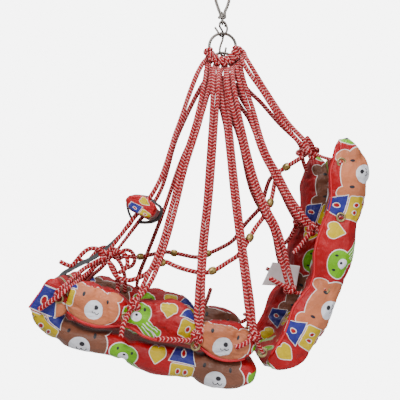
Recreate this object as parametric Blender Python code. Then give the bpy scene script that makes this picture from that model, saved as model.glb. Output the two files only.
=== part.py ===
"""Padded toddler swing seat hung by ropes from two rings.

The child faces -Y, +X is the child's left and +Z is up.
The origin is the top of the hanging cord's loop, where the support carries it.
"""

import math

import bmesh
import bpy
from mathutils import Matrix, Vector

MM = 0.001
GAP = 0.3

RING_DROP = 115.0
RING_RADIUS = 25.4
RING_WIRE = 2.0
LOWER_RING = (-14.0, 0.9, -37.0)

ROPE_RADIUS = 3.75
ROPE_SIDES = 2
ROPE_SPACING = 7.9
WRAP = RING_WIRE + GAP + ROPE_RADIUS
CORD_RADIUS = 2.0
CORD_WORN = 0.9
CORD_KNOT = (1.15, 2.3, 2.2)
HOOK_RADIUS = 1.75

BEAD_RADIUS = 6.2
BEAD_BORE = 4.1
BEAD_LENGTH = 10.0
BEAD_REACH = 8.5

EYELET_OUTER = 8.5
EYELET_BORE = 4.6
EYELET_THICK = 2.4

SEAT_HALF = 150.0
BACK_HALF = 112.0
BOLSTER_SEAT_X = 132.0
BOLSTER_SEAT_HALF = 33.0
BOLSTER_BACK_X = 141.5
BOLSTER_BACK_HALF = 27.0

BAR_HALF = 118.0
BAR_CENTRE = (-148.5, -313.5)
BAR_LONG = 27.0
BAR_SHORT = 18.5
BAR_TILT = math.radians(-37.5)
BAR_ROPE_X = 95.0
BAR_ROPE_BORE = 4.3
FRONT_KNOT = 108.0
ROD_RADIUS = 10.0
ROD_HALF = 108.0

STRAP_HALF = 10.0
STRAP_THICK = 1.8

COLOURS = {
    "steel": ((0.45, 0.45, 0.44), 0.32, 1.0),
    "cord": ((0.30, 0.30, 0.29), 0.80, 0.0),
    "rope": ((0.62, 0.03, 0.05), 0.85, 0.0),
    "bead": ((0.55, 0.40, 0.12), 0.35, 0.6),
    "brass": ((0.40, 0.33, 0.14), 0.35, 1.0),
    "fabric": ((0.68, 0.01, 0.03), 0.80, 0.0),
    "bar": ((0.65, 0.02, 0.04), 0.80, 0.0),
    "rod": ((0.55, 0.38, 0.20), 0.60, 0.0),
    "webbing": ((0.05, 0.05, 0.055), 0.75, 0.0),
    "label": ((0.85, 0.85, 0.85), 0.70, 0.0),
}


def clear():
    for obj in list(bpy.data.objects):
        bpy.data.objects.remove(obj, do_unlink=True)


def make_material(name, kind):
    colour, rough, metal = COLOURS[kind]
    mat = bpy.data.materials.new(name)
    mat.use_nodes = True
    shader = mat.node_tree.nodes["Principled BSDF"]
    shader.inputs["Base Color"].default_value = (*colour, 1.0)
    shader.inputs["Roughness"].default_value = rough
    shader.inputs["Metallic"].default_value = metal
    return mat


def at(x, y, z):
    """A point in millimetres from the upper ring's centre, in metres from the origin."""
    return Vector((x, y, z - RING_DROP)) * MM


def link(name, data, kind, smooth=True):
    obj = bpy.data.objects.new(name, data)
    bpy.context.collection.objects.link(obj)
    data.materials.append(make_material("mat_" + name, kind))
    if smooth and hasattr(data, "polygons"):
        for face in data.polygons:
            face.use_smooth = True
    return obj


def mesh_object(name, verts, faces, kind, smooth=True):
    mesh = bpy.data.meshes.new(name)
    mesh.from_pydata([tuple(v) for v in verts], [], faces)
    mesh.update()
    shape = bmesh.new()
    shape.from_mesh(mesh)
    bmesh.ops.recalc_face_normals(shape, faces=shape.faces)
    shape.to_mesh(mesh)
    shape.free()
    return link(name, mesh, kind, smooth)


def catmull(points, t):
    """Point at parameter t (0..len-1) of a smooth curve through a list of equal-length tuples."""
    last = len(points) - 1
    i = min(int(t), last - 1)
    u = t - i
    p1 = points[i]
    p2 = points[i + 1]
    p0 = points[i - 1] if i > 0 else tuple(2 * a - b for a, b in zip(p1, p2))
    p3 = points[i + 2] if i + 2 <= last else tuple(2 * b - a for a, b in zip(p1, p2))
    out = []
    for a, b, c, d in zip(p0, p1, p2, p3):
        out.append(
            0.5 * (2 * b + (c - a) * u + (2 * a - 5 * b + 4 * c - d) * u * u
                   + (3 * b - a - 3 * c + d) * u ** 3)
        )
    return tuple(out)


def smooth_points(points, per_span):
    count = (len(points) - 1) * per_span
    return [catmull(points, k / per_span) for k in range(count + 1)]


def tube(name, points, radius, kind, swell=None, sides=ROPE_SIDES):
    """A round tube through points given in millimetres from the ring's centre."""
    curve = bpy.data.curves.new(name, "CURVE")
    curve.dimensions = "3D"
    curve.bevel_depth = radius * MM
    curve.bevel_resolution = sides
    curve.use_fill_caps = True
    spline = curve.splines.new("POLY")
    spline.points.add(len(points) - 1)
    for k, point in enumerate(points):
        spline.points[k].co = (*at(*point), 1.0)
        spline.points[k].radius = swell[k] if swell else 1.0
    spline.use_smooth = True
    return link(name, curve, kind)


def sweep(name, stations, sides, kind):
    """Closed body of elliptic sections. A station is (x, y, z, half across x, half across the path)."""
    count = len(stations)
    verts = []
    for k, (x, y, z, wide, deep) in enumerate(stations):
        before = stations[max(k - 1, 0)]
        after = stations[min(k + 1, count - 1)]
        along = Vector((0, after[1] - before[1], after[2] - before[2])).normalized()
        across = Vector((0, -along.z, along.y))
        for j in range(sides):
            angle = 2 * math.pi * j / sides
            offset = Vector((wide * math.cos(angle), 0, 0)) + across * (deep * math.sin(angle))
            verts.append(at(x + offset.x, y + offset.y, z + offset.z))
    faces = []
    for k in range(count - 1):
        for j in range(sides):
            n = (j + 1) % sides
            faces.append((k * sides + j, k * sides + n, (k + 1) * sides + n, (k + 1) * sides + j))
    faces.append(tuple(range(sides)))
    faces.append(tuple(range((count - 1) * sides, count * sides)))
    return mesh_object(name, verts, faces, kind)


def loft_across(name, outline, layers, kind, smooth=True):
    """Closed body: a closed outline in the YZ plane repeated at each (x, inset) layer."""
    count = len(outline)
    area = sum(outline[i][0] * outline[(i + 1) % count][1] - outline[(i + 1) % count][0] * outline[i][1]
               for i in range(count))
    side = 1.0 if area > 0 else -1.0
    verts = []
    for x, inset in layers:
        for i in range(count):
            before = Vector(outline[i - 1])
            here = Vector(outline[i])
            after = Vector(outline[(i + 1) % count])
            one = (here - before).normalized()
            two = (after - here).normalized()
            inward = Vector((-(one.y + two.y), one.x + two.x)).normalized() * side
            moved = here + inward * inset
            verts.append(at(x, moved.x, moved.y))
    faces = []
    for k in range(len(layers) - 1):
        for i in range(count):
            n = (i + 1) % count
            faces.append((k * count + i, k * count + n, (k + 1) * count + n, (k + 1) * count + i))
    faces.append(tuple(range(count)))
    faces.append(tuple(range((len(layers) - 1) * count, len(layers) * count)))
    return mesh_object(name, verts, faces, kind, smooth)


def torus(name, centre, radius, wire, kind, around=20, section=6):
    """Ring in the YZ plane."""
    verts = []
    faces = []
    for i in range(around):
        a = 2 * math.pi * i / around
        for j in range(section):
            b = 2 * math.pi * j / section
            reach = radius + wire * math.cos(b)
            verts.append(at(centre[0] + wire * math.sin(b), centre[1] + reach * math.cos(a),
                            centre[2] + reach * math.sin(a)))
    for i in range(around):
        for j in range(section):
            m = (i + 1) % around
            n = (j + 1) % section
            faces.append((i * section + j, m * section + j, m * section + n, i * section + n))
    return mesh_object(name, verts, faces, kind)


def collar(name, centre, axis, outer, bore, length, kind, around, crown=0.8):
    """Bored bead or eyelet, round about its own axis, its origin at its centre."""
    half = length / 2
    profile = [(bore, -half), (outer * crown, -half), (outer, 0.0), (outer * crown, half), (bore, half)]
    verts = []
    faces = []
    for i in range(around):
        a = 2 * math.pi * i / around
        for r, h in profile:
            verts.append(Vector((r * math.cos(a), r * math.sin(a), h)) * MM)
    for i in range(around):
        m = (i + 1) % around
        for j in range(len(profile)):
            n = (j + 1) % len(profile)
            faces.append((i * len(profile) + j, m * len(profile) + j,
                          m * len(profile) + n, i * len(profile) + n))
    obj = mesh_object(name, verts, faces, kind)
    obj.location = at(*centre)
    obj.rotation_mode = "QUATERNION"
    obj.rotation_quaternion = Vector(axis).normalized().to_track_quat("Z", "Y")
    return obj


def cut(obj, cutter):
    cutter.hide_render = True
    cutter.display_type = "WIRE"
    mod = obj.modifiers.new("bore", "BOOLEAN")
    mod.operation = "DIFFERENCE"
    mod.solver = "EXACT"
    mod.object = cutter
    bpy.context.view_layer.objects.active = obj
    obj.select_set(True)
    bpy.ops.object.modifier_apply(modifier=mod.name)
    bpy.data.objects.remove(cutter, do_unlink=True)


def rod_mesh(name, centre, axis, radius, half, around, kind):
    """Solid round bar about axis."""
    direction = Vector(axis).normalized()
    turn = direction.to_track_quat("Z", "Y").to_matrix()
    verts = []
    for h in (-half, half):
        for i in range(around):
            a = 2 * math.pi * i / around
            spot = turn @ Vector((radius * math.cos(a), radius * math.sin(a), h))
            verts.append(at(centre[0] + spot.x, centre[1] + spot.y, centre[2] + spot.z))
    faces = [(i, (i + 1) % around, around + (i + 1) % around, around + i) for i in range(around)]
    faces.append(tuple(range(around)))
    faces.append(tuple(range(around, 2 * around)))
    return mesh_object(name, verts, faces, kind)


def hardware():
    cord = [
        (7.2, 0, 50.2), (8.0, 0, 47.5), (6.0, 0, 44.6), (2.5, 0, 44.0), (-2.5, 0, 44.0),
        (-6.0, 0, 44.6), (-8.2, 0, 49.0), (-3.4, 0, 54.0), (0, -1.0, 57.2), (0, -2.0, 60.8),
        (0, -4.0, 64.5), (0, -8.5, 76.0), (0, -13.0, 92.0), (0, -13.0, 104.0), (0, -9.0, 112.5),
        (0, 0, 117.0), (0, 9.0, 112.5), (0, 13.0, 104.0), (0, 13.0, 92.0), (0, 8.5, 76.0),
        (0, 4.6, 67.0), (0, 4.3, 64.0),
    ]
    thick = [1.0] * len(cord)
    thick[1:6] = [CORD_WORN] * 5
    thick[7:10] = CORD_KNOT
    tube("hanging_cord", cord, CORD_RADIUS, "cord", thick)

    short = [
        (2.6, -5.6, 39.5), (2.6, -5.6, 42.6), (2.6, -3.9, 46.5), (2.6, 0, 48.1), (2.6, 3.9, 46.5),
        (2.8, 6.6, 42.0), (4.2, 8.6, 36.0), (6.0, 8.2, 29.5), (5.6, 4.8, 23.0), (0, 0.3, 20.6),
        (-5.8, -4.4, 23.0), (-7.8, -8.4, 30.5), (-9.0, -13.8, 39.5),
    ]
    tube("hook_short", short, HOOK_RADIUS, "steel")
    x2, y2, z2 = LOWER_RING
    top = z2 + RING_RADIUS
    long = [
        (-2.6, 5.6, 39.5), (-2.6, 5.6, 42.6), (-2.6, 3.9, 46.5), (-2.6, 0, 48.1), (-2.6, -3.9, 46.5),
        (-3.2, -5.2, 41.0), (-5.4, -1.2, 33.0), (-7.0, 0.6, 26.0), (-7.6, -0.5, 16.0), (-7.2, -3.6, 4.0),
        (x2 + 6.6, -5.0, top + 4.5), (x2 + 6.4, -3.8, top - 2.4), (x2, y2, top - 5.6),
        (x2 - 6.4, 4.8, top - 2.4), (x2 - 6.8, 6.6, top + 5.0), (x2 - 7.0, 8.0, top + 12.0),
    ]
    tube("hook_long", long, HOOK_RADIUS, "steel")
    torus("ring_upper", (0, 0, 0), RING_RADIUS, RING_WIRE, "steel")
    torus("ring_lower", LOWER_RING, RING_RADIUS, RING_WIRE, "steel")


def hairpin(ring, angle, route, doubled, knots):
    """Strand looped over a ring's wire: up one leg, over the wire, down the other leg."""
    out = Vector((0, math.cos(angle), math.sin(angle)))
    wire = Vector(ring) + out * RING_RADIUS
    bend = []
    for k in range(5):
        a = math.pi * k / 4
        bend.append(wire + Vector((WRAP * math.cos(a), 0, 0)) - out * (WRAP * math.sin(a)))
    route = [Vector(p) for p in route]
    legs = [[], []]
    for k, spot in enumerate(route):
        after = route[min(k + 1, len(route) - 1)]
        before = route[max(k - 1, 0)]
        along = (after - before).normalized()
        flat = Vector((0, along.z, -along.y)).normalized()
        legs[0].append(spot + flat * (ROPE_SPACING / 2))
        legs[1].append(spot - flat * (ROPE_SPACING / 2))
    near = legs[0]
    far = legs[1]
    clear_of_wire = [wire + Vector((side * WRAP, 0, 0)) + out * 7.5 for side in (1, -1)]
    if doubled:
        up = list(reversed(far[:-1]))
        last = far[-1] + (far[-2] - far[-1]).normalized() * (knots + 4.5)
        up.insert(0, last)
        chain = up + [clear_of_wire[1]] + bend[::-1] + [clear_of_wire[0]] + near[:-1]
        return [tuple(p) for p in chain]
    chain = [clear_of_wire[1]] + bend[::-1] + [clear_of_wire[0]] + route[:-1]
    return [tuple(p) for p in chain]


KNOT = 2.0


def rope(name, ring, angle_deg, route, tail, doubled=True):
    """Suspension rope from a ring to its knot at the mat's edge, with the free end beyond the knot."""
    angle = math.radians(angle_deg)
    points = hairpin(ring, angle, route, doubled, KNOT * ROPE_RADIUS)
    swell = [1.0] * len(points)
    knot = Vector(route[-1])
    before = Vector(points[-1])
    toward = (knot - before).normalized()
    for step, size in ((-6.5, 1.0), (-4.5, 1.7), (0.0, KNOT), (4.5, 1.7)):
        points.append(tuple(knot + toward * step))
        swell.append(size)
    for spot in tail:
        points.append(spot)
        swell.append(1.0)
    tube(name, points, ROPE_RADIUS, "rope", swell)


def ropes():
    upper = (0, 0, 0)
    angles = {"front": 203, "seat_a": 228, "seat_b": 252, "seat_c": 276, "back_a": 299, "back_b": 322,
              "back_c": 345}
    left = {
        "seat_a": ([(5, -27, -44), (42, -48, -150), (66, -76, -244), (84, -92, -311), (124, -117, -399),
                    (150, -140, -450), (160, -158, -480)],
                   [(165, -168, -498), (171, -175, -513), (174, -178, -530)]),
        "seat_b": ([(14, -13, -46), (50, -20, -168), (78, -31, -300), (104, -41, -389), (130, -45, -440),
                    (152, -49, -503), (160, -51, -532)],
                   [(163, -66, -538), (170, -88, -535), (174, -107, -531)]),
        "seat_c": ([(5, 2, -46), (40, 9, -168), (80, 19, -300), (104, 26, -371), (130, 33, -440),
                    (152, 39, -500), (160, 43, -531)],
                   [(164, 34, -541), (169, 24, -545), (172, 14, -546)]),
        "back_a": ([(17, 14, -48), (53, 33, -180), (74, 60, -285), (86, 74, -321), (92, 86, -345),
                    (108, 103, -415), (115, 112, -458)],
                   [(114, 101, -448), (115, 91, -443), (118, 78, -439)]),
        "back_b": ([(5, 31, -40), (29, 52, -129), (66, 79, -226), (72, 93, -252), (88, 116, -300),
                    (98, 135, -331), (104, 154, -352)],
                   [(108, 143, -366), (109, 132, -380), (110, 119, -394)]),
        "back_c": ([(12, 41, -28), (32, 75, -90), (54, 118, -162), (72, 142, -194), (90, 157, -214)],
                   [(101, 167, -223), (106, 173, -228), (111, 179, -232)]),
    }
    for key, (route, tail) in left.items():
        rope("rope_" + key + "_left", upper, angles[key], route, tail)
    right = {
        "seat_a": ([(-23, -30, -84), (-60, -86, -233), (-84, -113, -311), (-122, -150, -404),
                    (-146, -168, -450), (-160, -174, -478)],
                   [(-164, -180, -494), (-171, -184, -510), (-174, -186, -526)], False),
        "seat_b": ([(-31, -12, -84), (-52, -17, -155), (-80, -26, -291), (-113, -34, -392),
                    (-124, -39, -443), (-144, -42, -497), (-165, -42, -533)],
                   [(-169, -34, -519), (-171, -24, -498), (-172, -16, -474)], True),
        "seat_c": ([(-22, 3, -84), (-42, 13, -155), (-80, 30, -291), (-110, 42, -371),
                    (-124, 53, -443), (-144, 60, -496), (-163, 63, -531)],
                   [(-166, 54, -541), (-170, 44, -545), (-172, 34, -546)], True),
        "back_a": ([(-32, 17, -84), (-56, 42, -175), (-78, 72, -285), (-90, 90, -315),
                    (-94, 106, -341), (-108, 124, -408), (-119, 130, -447)],
                   [(-119, 119, -440), (-120, 109, -435), (-121, 97, -430)], True),
        "back_b": ([(-23, 29, -79), (-42, 60, -135), (-66, 90, -202), (-74, 107, -235),
                    (-84, 128, -275), (-98, 151, -317), (-104, 159, -337)],
                   [(-106, 151, -351), (-106, 143, -366), (-107, 133, -378)], True),
        "back_c": ([(-29, 43, -66), (-44, 80, -102), (-52, 119, -144), (-60, 136, -158),
                    (-75, 156, -174), (-88, 166, -193)],
                   [(-99, 170, -210), (-105, 174, -220), (-111, 179, -230)], False),
    }
    for key, (route, tail, doubled) in right.items():
        rope("rope_" + key + "_right", LOWER_RING, angles[key], route, tail, doubled)

    through = bar_direction()
    centre = Vector((0, *BAR_CENTRE))
    for side, ring, label in ((1, upper, "left"), (-1, LOWER_RING, "right")):
        x = side * BAR_ROPE_X
        enter = centre - through * 30
        leave = centre + through * 30
        start = (8, -42, -40) if side > 0 else (-26, -42, -74)
        route = [
            start,
            (side * 52, -86, -165),
            (x, enter.y, enter.z),
            (x, leave.y, leave.z),
            tuple(Vector((x, *BAR_CENTRE)) + through * FRONT_KNOT),
        ]
        tail = [(x + side * 8, -240, -427), (x + side * 26, -256, -440), (x + side * 46, -266, -450),
                (x + side * 62, -279, -461), (x + side * 62, -297, -474), (x + side * 62, -316, -487)]
        rope("rope_front_" + label, ring, angles["front"], route, tail, False)


def bar_direction():
    """Direction in which the front ropes run down through the bar."""
    return Vector((0, math.sin(BAR_TILT), -math.cos(BAR_TILT)))


def guard_route(side):
    """Guard rope's corner points, front to back."""
    if side > 0:
        return [
            (106, -205, -410), (111, -192, -434), (114, -168, -441), (117, -140, -430), (118, -121, -413),
            (117, -104, -411), (115, -80, -420), (113, -46, -428), (111, -22, -424), (106, 6, -408),
            (101, 27, -392), (88, 52, -352), (79, 66, -334), (73, 77, -316), (68, 86, -292),
            (64, 91, -268), (61, 97, -250), (62, 110, -240), (69, 126, -230), (77, 140, -221),
        ]
    return [
        (-104, -205, -410), (-106, -192, -404), (-107, -172, -406), (-107, -144, -402), (-106, -116, -396),
        (-105, -98, -397), (-105, -72, -402), (-105, -46, -406), (-103, -22, -398), (-101, 4, -386),
        (-96, 26, -372), (-88, 48, -342), (-81, 62, -326), (-75, 76, -310), (-70, 85, -290),
        (-66, 91, -268), (-62, 98, -250), (-62, 110, -240), (-68, 124, -230), (-75, 136, -220),
    ]


BEAD_SPOTS = {1: (4.5, 7.9, 10.6, 13.5, 17.2), -1: (2.4, 5.2, 7.9, 10.6, 13.5, 17.2)}


def guard():
    for side, label in ((1, "left"), (-1, "right")):
        route = guard_route(side)
        points = [Vector(p) for p in smooth_points(route, 2)]
        for number, spot in enumerate(BEAD_SPOTS[side]):
            here = Vector(catmull(route, spot))
            along = Vector(catmull(route, spot + 0.05)) - Vector(catmull(route, spot - 0.05))
            along.normalize()
            place = next(k for k in range(len(points)) if (points[k] - here).dot(along) > -1.0
                         and (points[k] - here).length < 40)
            points = ([p for p in points[:place] if (p - here).length > 12]
                      + [here - along * BEAD_REACH, here + along * BEAD_REACH]
                      + [p for p in points[place:] if (p - here).length > 12])
            collar(f"bead_{label}_{number + 1}", here, along, BEAD_RADIUS, BEAD_BORE, BEAD_LENGTH, "bead", 10)
        tube("guard_rope_" + label, [tuple(p) for p in points], ROPE_RADIUS, "rope")


def mats():
    seat = [
        (-322, -452), (-338, -474), (-332, -508), (-305, -535), (-257, -552), (-205, -560), (-170, -576),
        (-131, -590), (-64, -608), (-14, -624), (25, -624), (48, -606), (50, -590), (42, -579), (0, -572),
        (-50, -560), (-125, -547), (-200, -527), (-250, -519), (-280, -498), (-288, -468), (-297, -451),
        (-308, -444),
    ]
    layers = [(-SEAT_HALF, 12), (-SEAT_HALF + 7, 3), (-SEAT_HALF + 26, 0), (-50, 0), (50, 0),
              (SEAT_HALF - 26, 0), (SEAT_HALF - 7, 3), (SEAT_HALF, 12)]
    loft_across("seat_mat", seat, layers, "fabric")
    back = [
        (57, -590), (88, -594), (122, -588), (153, -541), (178, -484), (184, -447), (208, -385),
        (214, -335), (236, -268), (234, -228), (218, -204), (200, -208), (189, -236), (180, -285),
        (172, -335), (158, -385), (143, -440), (126, -484), (100, -524), (78, -545), (58, -560),
    ]
    layers = [(-BACK_HALF, 7), (-BACK_HALF + 6, 0), (-40, 0), (40, 0), (BACK_HALF - 6, 0), (BACK_HALF, 7)]
    loft_across("back_mat", back, layers, "fabric")
    seat_edge = [
        (-270, -470, 0.30, 7), (-262, -474, 0.75, 22), (-243, -477, 1.0, 31), (-218, -479, 1.0, 30),
        (-192, -487, 0.82, 22), (-170, -498, 0.42, 11), (-147, -500, 0.82, 23), (-120, -504, 1.0, 30),
        (-92, -511, 1.0, 28), (-70, -521, 0.8, 19), (-53, -531, 0.42, 9), (-36, -531, 0.80, 20),
        (-12, -536, 1.0, 28), (16, -542, 1.0, 26), (36, -549, 0.75, 17), (44, -552, 0.30, 5),
    ]
    back_edge = [
        (84, -580, 0.3, 7), (94, -570, 0.75, 18), (113, -550, 1.0, 28), (133, -520, 1.0, 31),
        (150, -486, 0.9, 27), (161, -452, 0.5, 17), (172, -418, 0.9, 31), (181, -378, 1.0, 37),
        (187, -350, 0.85, 31), (192, -330, 0.6, 24), (199, -304, 0.95, 32), (205, -266, 1.0, 34),
        (204, -234, 0.8, 24), (202, -212, 0.4, 11), (201, -202, 0.2, 5),
    ]
    for side, label in ((1, "left"), (-1, "right")):
        stations = [(side * BOLSTER_SEAT_X, y, z, BOLSTER_SEAT_HALF * w, h) for y, z, w, h in seat_edge]
        sweep("bolster_seat_" + label, stations, 12, "fabric")
        stations = [(side * BOLSTER_BACK_X, y, z, BOLSTER_BACK_HALF * w, h) for y, z, w, h in back_edge]
        sweep("bolster_back_" + label, stations, 12, "fabric")


EYELETS = (
    ("front", 151.7, -285, -470), ("seat_a", 155.5, -174, -501), ("seat_b", 155.5, -55, -549),
    ("seat_c", 154.5, 58, -560), ("back_a", 165.0, 163, -454), ("back_b", 167.0, 190, -333),
    ("back_c", 167.5, 192, -240),
)


def eyelets():
    for side, label in ((1, "left"), (-1, "right")):
        for name, x, y, z in EYELETS:
            collar(f"eyelet_{name}_{label}", (side * x, y, z), (1, 0, 0), EYELET_OUTER, EYELET_BORE,
                   EYELET_THICK, "brass", 12, 0.86)


def bar():
    through = bar_direction()
    wide = Vector((0, through.z, -through.y))
    stations = ((-1.0, 0.72), (-0.95, 0.92), (-0.8, 1.0), (-0.3, 1.0), (0.3, 1.0), (0.8, 1.0),
                (0.95, 0.92), (1.0, 0.72))
    sides = 14
    verts = []
    for spot, scale in stations:
        for j in range(sides):
            a = 2 * math.pi * j / sides
            off = wide * (BAR_LONG * scale * math.cos(a)) + through * (BAR_SHORT * scale * math.sin(a))
            verts.append(at(spot * BAR_HALF, BAR_CENTRE[0] + off.y, BAR_CENTRE[1] + off.z))
    faces = []
    for k in range(len(stations) - 1):
        for j in range(sides):
            n = (j + 1) % sides
            faces.append((k * sides + j, k * sides + n, (k + 1) * sides + n, (k + 1) * sides + j))
    faces.append(tuple(range(sides)))
    faces.append(tuple(range((len(stations) - 1) * sides, len(stations) * sides)))
    cover = mesh_object("bar_cover", verts, faces, "bar")
    centre = (0, *BAR_CENTRE)
    cut(cover, rod_mesh("cutter", centre, (1, 0, 0), ROD_RADIUS + GAP, BAR_HALF + 5, 16, "rod"))
    core = rod_mesh("bar_rod", centre, (1, 0, 0), ROD_RADIUS, ROD_HALF, 16, "rod")
    for side in (-1, 1):
        spot = (side * BAR_ROPE_X, *BAR_CENTRE)
        cut(cover, rod_mesh("cutter", spot, through, BAR_ROPE_BORE, 40, 12, "rod"))
        cut(core, rod_mesh("cutter", spot, through, BAR_ROPE_BORE, 40, 12, "rod"))


def strap():
    through = bar_direction()
    wide = Vector((0, through.z, -through.y))
    path = [Vector((-312, -441)), Vector((-276, -420)), Vector((-238, -401)), Vector((-205, -380)),
            Vector((-184, -352))]
    reach = STRAP_THICK / 2 + 1.0
    for k in range(13):
        a = math.radians(72 + 27.5 * k)
        off = wide * ((BAR_LONG + reach) * math.cos(a)) + through * ((BAR_SHORT + reach) * math.sin(a))
        path.append(Vector((BAR_CENTRE[0] + off.y, BAR_CENTRE[1] + off.z)))
    half = STRAP_THICK / 2
    one = []
    two = []
    for k, here in enumerate(path):
        along = (path[min(k + 1, len(path) - 1)] - path[max(k - 1, 0)]).normalized()
        normal = Vector((-along.y, along.x))
        one.append(tuple(here + normal * half))
        two.append(tuple(here - normal * half))
    loft_across("crotch_strap", one + two[::-1], [(-STRAP_HALF, 0), (STRAP_HALF, 0)], "webbing", False)


def label():
    outline = [(82, -468), (126, -474), (136, -434), (110, -414)]
    loft_across("blank_label", outline, [(-97.4, 0), (-96.0, 0)], "label", False)


clear()
hardware()
ropes()
guard()
mats()
eyelets()
bar()
strap()
label()
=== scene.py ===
import math

import bmesh
import bpy
import numpy as np
from mathutils import Matrix, Vector, noise


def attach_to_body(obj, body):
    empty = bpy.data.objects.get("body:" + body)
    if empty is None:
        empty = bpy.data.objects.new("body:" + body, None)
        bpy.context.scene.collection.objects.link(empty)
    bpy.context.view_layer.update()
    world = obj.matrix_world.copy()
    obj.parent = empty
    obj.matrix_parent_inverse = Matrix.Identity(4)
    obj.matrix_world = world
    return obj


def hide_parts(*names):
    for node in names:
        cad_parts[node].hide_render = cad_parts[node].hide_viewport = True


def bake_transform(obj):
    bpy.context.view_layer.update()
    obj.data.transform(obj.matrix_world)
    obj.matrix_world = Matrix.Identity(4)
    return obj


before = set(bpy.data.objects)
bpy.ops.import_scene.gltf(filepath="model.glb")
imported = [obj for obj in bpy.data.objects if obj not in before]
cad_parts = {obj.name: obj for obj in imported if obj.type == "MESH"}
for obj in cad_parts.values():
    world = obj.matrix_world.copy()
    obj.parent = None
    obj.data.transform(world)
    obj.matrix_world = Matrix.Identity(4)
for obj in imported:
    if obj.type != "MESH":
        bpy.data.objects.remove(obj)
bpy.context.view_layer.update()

MM = 0.001
SIDES = ((1, "left"), (-1, "right"))
# in mm, from the upper ring's centre
RING_DROP = 115.0   # how far that centre lies below the row's origin
RING_RADIUS = 25.4
UPPER_RING = (0.0, 0.0, 0.0)
LOWER_RING = (-14.0, 0.9, -34.5)
RING_WIRE = 2.8
ROPE_RADIUS = 4.2
ROPE_SPACING = 8.7  # between the two strands of a doubled rope
PERIOD = 262.0      # length of the print's repeat along the cloth
ROW = 112.0         # distance between the print's rows
# ten repeats, in the print's unit of 100 mm, are added on inner faces, which are painted in shade: brown
# bears and a darker colour
SHADED_INNER_OFFSET = 10 * PERIOD / 100

CAMERA_AZIMUTH = math.radians(88.5)
CAMERA_HEIGHT = math.radians(-3.0)
CAMERA_PLACE = (1.44752, -0.08116, -0.48634)
CAMERA_LENS = 68.684
SENSOR_WIDTH = 36.0

FLOOR_Z = -0.98
FLOOR_RADIUS = 0.75
SKY_LIGHT = 0.42    # strength of the soft light from all round
SKY_SEEN = 6.5      # strength of the same sky where the camera sees it


def at(x, y, z):
    """Millimetres from the upper ring's centre to metres in the row frame."""
    return Vector((x, y, z - RING_DROP)) * MM


def mirrored(points, side):
    return [(side * x, y, z) for x, y, z in points]


def new_object(name, data):
    obj = bpy.data.objects.new(name, data)
    bpy.context.scene.collection.objects.link(obj)
    return obj


def attach(obj, body, node=None):
    """Puts a piece on its body, in place of its CAD node if it has one."""
    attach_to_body(obj, body)
    if node is not None:
        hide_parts(node)


# ---------------------------------------------------------------- camera
def place_camera():
    cos_az, sin_az = math.cos(CAMERA_AZIMUTH), math.sin(CAMERA_AZIMUTH)
    cos_el, sin_el = math.cos(CAMERA_HEIGHT), math.sin(CAMERA_HEIGHT)
    right = Vector((cos_az, sin_az, 0))
    up = Vector((-sin_el * sin_az, sin_el * cos_az, cos_el))
    back = Vector((sin_az * cos_el, -cos_az * cos_el, sin_el))
    data = bpy.data.cameras.new("camera")
    data.lens = CAMERA_LENS
    data.sensor_width = SENSOR_WIDTH
    camera = new_object("camera", data)
    turn = Matrix((right, up, back)).transposed().to_4x4()
    turn.translation = Vector(CAMERA_PLACE)
    camera.matrix_world = turn
    bpy.context.scene.camera = camera


place_camera()


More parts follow.
